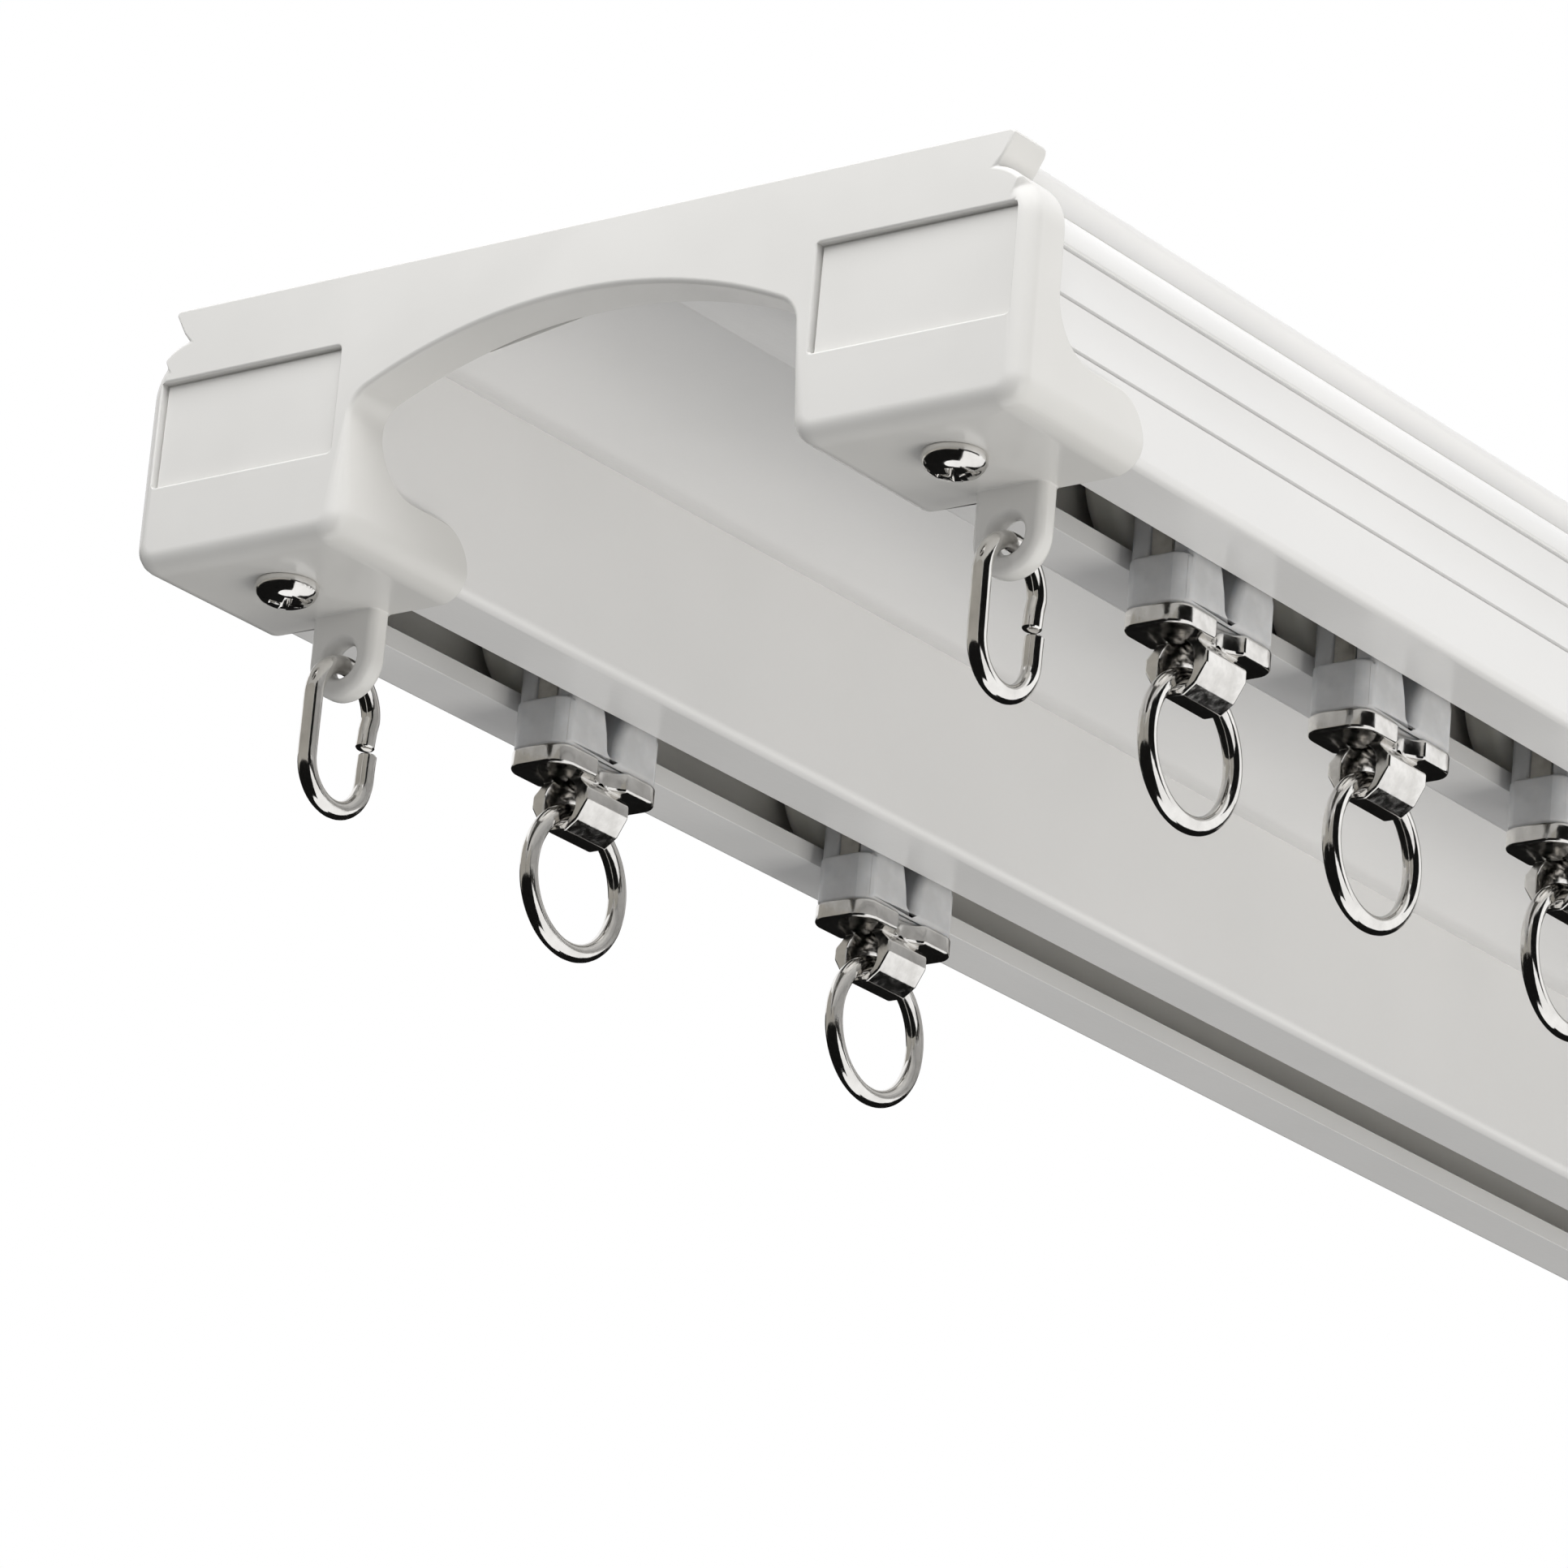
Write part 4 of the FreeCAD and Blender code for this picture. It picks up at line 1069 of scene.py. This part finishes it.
def cage_mesh(material):
    """The ball cage, with pockets for the balls and small holes between them."""
    face = -WHEEL_WIDTH + RACE_RECESS + CAGE_RECESS
    inner, outer = INNER_RACE_RADIUS + CAGE_INNER_GAP, RACE_RADIUS - RACE_RIM - CAGE_OUTER_GAP
    middle = (inner + outer) / 2
    profile = [(inner, face + CAGE_EDGE), (inner + CAGE_EDGE, face), (outer - CAGE_EDGE, face),
               (outer, face + CAGE_EDGE), (outer, -RACE_RECESS), (inner, -RACE_RECESS)]
    cage = lathe("cage", profile, "y", LATHE_STEPS)
    holes = [(0.0, BALL_RADIUS + POCKET_GAP, POCKET_DEPTH)]
    holes += [(share, VENT_RADIUS, VENT_DEPTH) for share in VENT_PLACES]
    for number in range(BALLS):
        for share, radius, depth in holes:
            angle = 2 * math.pi * (number + share) / BALLS
            edge = circle(middle * math.cos(angle), middle * math.sin(angle), radius, 24)
            combine(cage, prism("pocket", edge, face - 0.5, face + depth, "y"))
    return finished(cage, material, CAGE_EASE, 1)


def balls_mesh(material):
    """The bearing's balls, as one mesh."""
    middle = (INNER_RACE_RADIUS + RACE_RADIUS - RACE_RIM + 0.1) / 2
    sunk = -WHEEL_WIDTH + RACE_RECESS + CAGE_RECESS + BALL_RADIUS * 0.75
    shape = bmesh.new()
    for number in range(BALLS):
        angle = 2 * math.pi * number / BALLS
        place = Vector((middle * math.cos(angle), sunk, middle * math.sin(angle))) * MM
        bmesh.ops.create_icosphere(shape, subdivisions=3, radius=BALL_RADIUS * MM,
                                   matrix=Matrix.Translation(place))
    mesh = bpy.data.meshes.new("balls")
    shape.to_mesh(mesh)
    shape.free()
    mesh.materials.append(material)
    mesh.shade_smooth()
    return mesh


def axle_mesh(material):
    """The axle with a dimpled, eased end at each side, turned about Y."""
    reach = WHEEL_OFFSET + WHEEL_WIDTH - INNER_RACE_SHIFT + AXLE_TIP
    end = [(radius, -reach + depth) for radius, depth in AXLE_DIMPLE]
    end += [(AXLE_RADIUS - inward, -reach + depth) for inward, depth in AXLE_EDGE]
    profile = end + [(radius, -height) for radius, height in reversed(end)]
    return finished(lathe("axle", profile, "y", 64), material)


def ring_mesh(radius, material):
    """A closed wire ring in the XZ plane."""
    return finished(wire_tube("curtain_ring", circle(0, 0, radius, RING_STEP), True), material)


def wheel_meshes(nylon, steel, blue):
    """The meshes of one wheel and its bearing, by name, facing -Y."""
    bore, seat = (AXLE_RADIUS, INNER_RACE_RADIUS), (RACE_RADIUS - RACE_RIM, RACE_RADIUS)
    near, far = -WHEEL_WIDTH + INNER_RACE_SHIFT, INNER_RACE_SHIFT
    low, high = -WHEEL_WIDTH + RACE_RECESS, -RACE_RECESS
    return {
        "inner_race": race_mesh("inner_race", *bore, near, far, INNER_RACE_EDGE, steel),
        "outer_race": race_mesh("outer_race", *seat, low, high, RACE_EDGE, steel),
        "tyre": tyre_mesh(nylon),
        "cage": cage_mesh(blue),
        "balls": balls_mesh(steel),
    }


def put_wheel(meshes, prefix, face, place, turn):
    """Set one wheel on its carrier. Its inner race stays with the axle, and all the rest rolls."""
    name = f"{prefix}_{face}"
    wheel, axle = f"{name}_wheel", f"{prefix}_axle"
    put(f"{name}_inner_race", meshes["inner_race"], prefix, [axle], place, turn)
    put(f"{name}_tyre_nylon", meshes["tyre"], wheel, [f"{name}_tyre"], place, turn)
    for part in ("outer_race", "cage", "balls"):
        put(f"{name}_{part}", meshes[part], wheel, [f"{name}_bearing"], place, turn)


def make_carriers(metal, casting, nylon, dull, wheel):
    """Set the shared meshes at each carrier's place in the CAD."""
    ring_low, ring_high = box_mm("front_carrier_1_ring")
    body = make_body_mesh(nylon)
    hanger = make_hanger_mesh(casting)
    axle = axle_mesh(dull)
    ring = ring_mesh((ring_high.x - ring_low.x - WIRE) / 2, metal)
    for prefix in sorted(name for name in frame["bodies"] if name[-1].isdigit()):
        low, high = box_mm(f"{prefix}_hanger")
        x, y = (low.x + high.x) / 2, (low.y + high.y) / 2
        axle_z = FLOOR + AXLE_HEIGHT
        put(f"{prefix}_nylon", body, prefix, [f"{prefix}_body"], (x, y, FLOOR))
        put(f"{prefix}_hanger_casting", hanger, prefix, [f"{prefix}_hanger"], (x, y, FLOOR))
        put(f"{prefix}_axle_pin", axle, prefix, [f"{prefix}_axle"], (x, y, axle_z))
        put_wheel(wheel, prefix, "front", (x, y - WHEEL_OFFSET, axle_z), (0, 0, 0))
        put_wheel(wheel, prefix, "rear", (x, y + WHEEL_OFFSET, axle_z), (0, 0, 180))
        low, high = box_mm(f"{prefix}_ring")
        put(f"{prefix}_ring_wire", ring, f"{prefix}_ring", [f"{prefix}_ring"],
            ((low.x + high.x) / 2, y, (low.z + high.z) / 2))


def dress_clamp_plates(material):
    """The clamp plates keep their CAD shape and take a zinc finish."""
    for end in ("near", "far"):
        node = frame["nodes"][f"clamp_plates_{end}"]
        node.data.materials.clear()
        node.data.materials.append(material)


# Studio

CAMERA_PLACE = Vector((-0.73786, -0.45586, -0.29650))
CAMERA_RIGHT = Vector((0.59690, -0.79799, 0.08317))
CAMERA_UP = Vector((-0.31132, -0.13483, 0.94069))
CAMERA_LENS = 196.75
FLOOR_DROP = 3000.0
FLOOR_SIZE = 60000.0
FLAG_DISTANCE = 1500.0
FLAG_STEPS = 12
FLAG_TINT = (1.0, 0.96, 0.88)


def make_camera():
    """The photograph's point of view, below the track and past its near end."""
    data = bpy.data.cameras.new("camera")
    data.lens = CAMERA_LENS
    data.clip_start = 0.02
    camera = new_object("camera", data)
    backward = CAMERA_RIGHT.cross(CAMERA_UP)
    turn = Matrix((CAMERA_RIGHT, CAMERA_UP, backward)).transposed().to_4x4()
    camera.matrix_world = Matrix.Translation(CAMERA_PLACE) @ turn
    bpy.context.scene.camera = camera


def seen_directly(tree):
    """1 for rays from the camera, a mirror or a clear surface, 0 for rays that carry light."""
    rays = tree.nodes.new("ShaderNodeLightPath")
    total = rays.outputs["Is Camera Ray"]
    for name in ("Is Glossy Ray", "Is Transmission Ray"):
        node = tree.nodes.new("ShaderNodeMath")
        node.operation = "MAXIMUM"
        tree.links.new(total, node.inputs[0])
        tree.links.new(rays.outputs[name], node.inputs[1])
        total = node.outputs[0]
    return total


def two_ways(tree, light, sight, output):
    """Give rays that carry light one shader, and rays that show a surface another."""
    mix = tree.nodes.new("ShaderNodeMixShader")
    tree.links.new(seen_directly(tree), mix.inputs["Fac"])
    tree.links.new(light.outputs[0], mix.inputs[1])
    tree.links.new(sight.outputs[0], mix.inputs[2])
    tree.links.new(mix.outputs[0], output.inputs["Surface"])


def make_world(ambient):
    """A white background that lights the object at a plain level."""
    world = bpy.data.worlds.new("studio")
    world.use_nodes = True
    tree = world.node_tree
    tree.nodes.clear()
    light = fill(tree.nodes.new("ShaderNodeBackground"), {"Color": (1, 1, 0.995, 1), "Strength": ambient})
    white = fill(tree.nodes.new("ShaderNodeBackground"), {"Color": (1, 1, 1, 1), "Strength": 1.0})
    two_ways(tree, light, white, tree.nodes.new("ShaderNodeOutputWorld"))
    bpy.context.scene.world = world


def make_floor():
    """A pale floor far below the ceiling track."""
    half = FLOOR_SIZE / 2
    corners = [(x, y, -FLOOR_DROP) for x, y in ((-half, -half), (half, -half), (half, half), (-half, half))]
    floor = mesh_object("studio_floor", corners, [(0, 1, 2, 3)])
    material, shader = new_material("studio_floor")
    fill(shader, {"Base Color": (0.9, 0.9, 0.9, 1), "Roughness": 0.9})
    tree = material.node_tree
    glow = fill(tree.nodes.new("ShaderNodeEmission"), {"Strength": 1.0})
    two_ways(tree, shader, glow, tree.nodes["Material Output"])
    floor.data.materials.append(material)


def make_lamp(name, place, size, level, colour=(1, 1, 1)):
    """A soft lamp that adds about the given level to a white surface of the track that faces it."""
    data = bpy.data.lights.new(name, "AREA")
    data.shape = "RECTANGLE"
    data.size, data.size_y = size
    data.energy = level * (math.pi * Vector(place).length) ** 2
    data.color = colour
    lamp = new_object(name, data)
    lamp.location = place
    lamp.rotation_mode = "QUATERNION"
    lamp.rotation_quaternion = Vector(place).to_track_quat("Z", "Y")
    lamp.visible_glossy = False


def make_flag(name, azimuths, elevations, tone=0.004):
    """A curved card that only shows in reflections, for the bands in polished metal."""
    corners, faces = [], []
    for row in range(FLAG_STEPS + 1):
        lift = math.radians(elevations[0] + (elevations[1] - elevations[0]) * row / FLAG_STEPS)
        for column in range(FLAG_STEPS + 1):
            turn = math.radians(azimuths[0] + (azimuths[1] - azimuths[0]) * column / FLAG_STEPS)
            reach = FLAG_DISTANCE * math.cos(lift)
            corners.append((reach * math.cos(turn), reach * math.sin(turn), FLAG_DISTANCE * math.sin(lift)))
            if row and column:
                here = row * (FLAG_STEPS + 1) + column
                below = here - FLAG_STEPS - 1
                faces.append((below - 1, below, here, here - 1))
    flag = mesh_object(name, corners, faces)
    material, shader = new_material(name)
    fill(shader, {"Base Color": (*(tone * share for share in FLAG_TINT), 1), "Roughness": 1.0})
    flag.data.materials.append(material)
    flag.visible_camera = False
    flag.visible_diffuse = False
    flag.visible_shadow = False
    flag.visible_transmission = False


def make_studio():
    """Camera, world, floor, soft lamps and the cards that the metal reflects."""
    make_camera()
    make_world(0.46)
    make_floor()
    make_lamp("side_softbox", (-0.3, -1.1, 0.95), (1.0, 1.0), 0.25, (0.985, 0.985, 1.0))
    make_lamp("front_softbox", (-0.31, -0.03, 0.20), (0.2, 0.2), 0.52)
    make_lamp("low_softbox", (-0.05, -0.75, -0.55), (0.5, 0.5), 0.33, (1.0, 0.98, 0.93))
    make_lamp("key_softbox", (0.70, -0.45, -0.42), (0.3, 0.3), 0.16, (1.0, 0.98, 0.95))
    make_flag("back_flag", (-22, 98), (-68, 14))
    make_flag("camera_flag", (98, 240), (-68, -2))
    make_flag("right_flag", (223, 298), (-4, 45))
    make_flag("left_card", (98, 222), (-2, 34), 0.6)
    bpy.context.scene.view_settings.view_transform = "Standard"


make_studio()
nickel = plated_steel()
zinc_grey = zinc()
make_rail(powder_coat(), mill_finish())
make_caps(moulded_plastic())
make_screws(nickel)
make_links(nickel)
wheel = wheel_meshes(wheel_nylon(), bearing_steel(), cage_plastic())
make_carriers(nickel, cast_plate(), frosted_nylon(), zinc_grey, wheel)
dress_clamp_plates(zinc_grey)
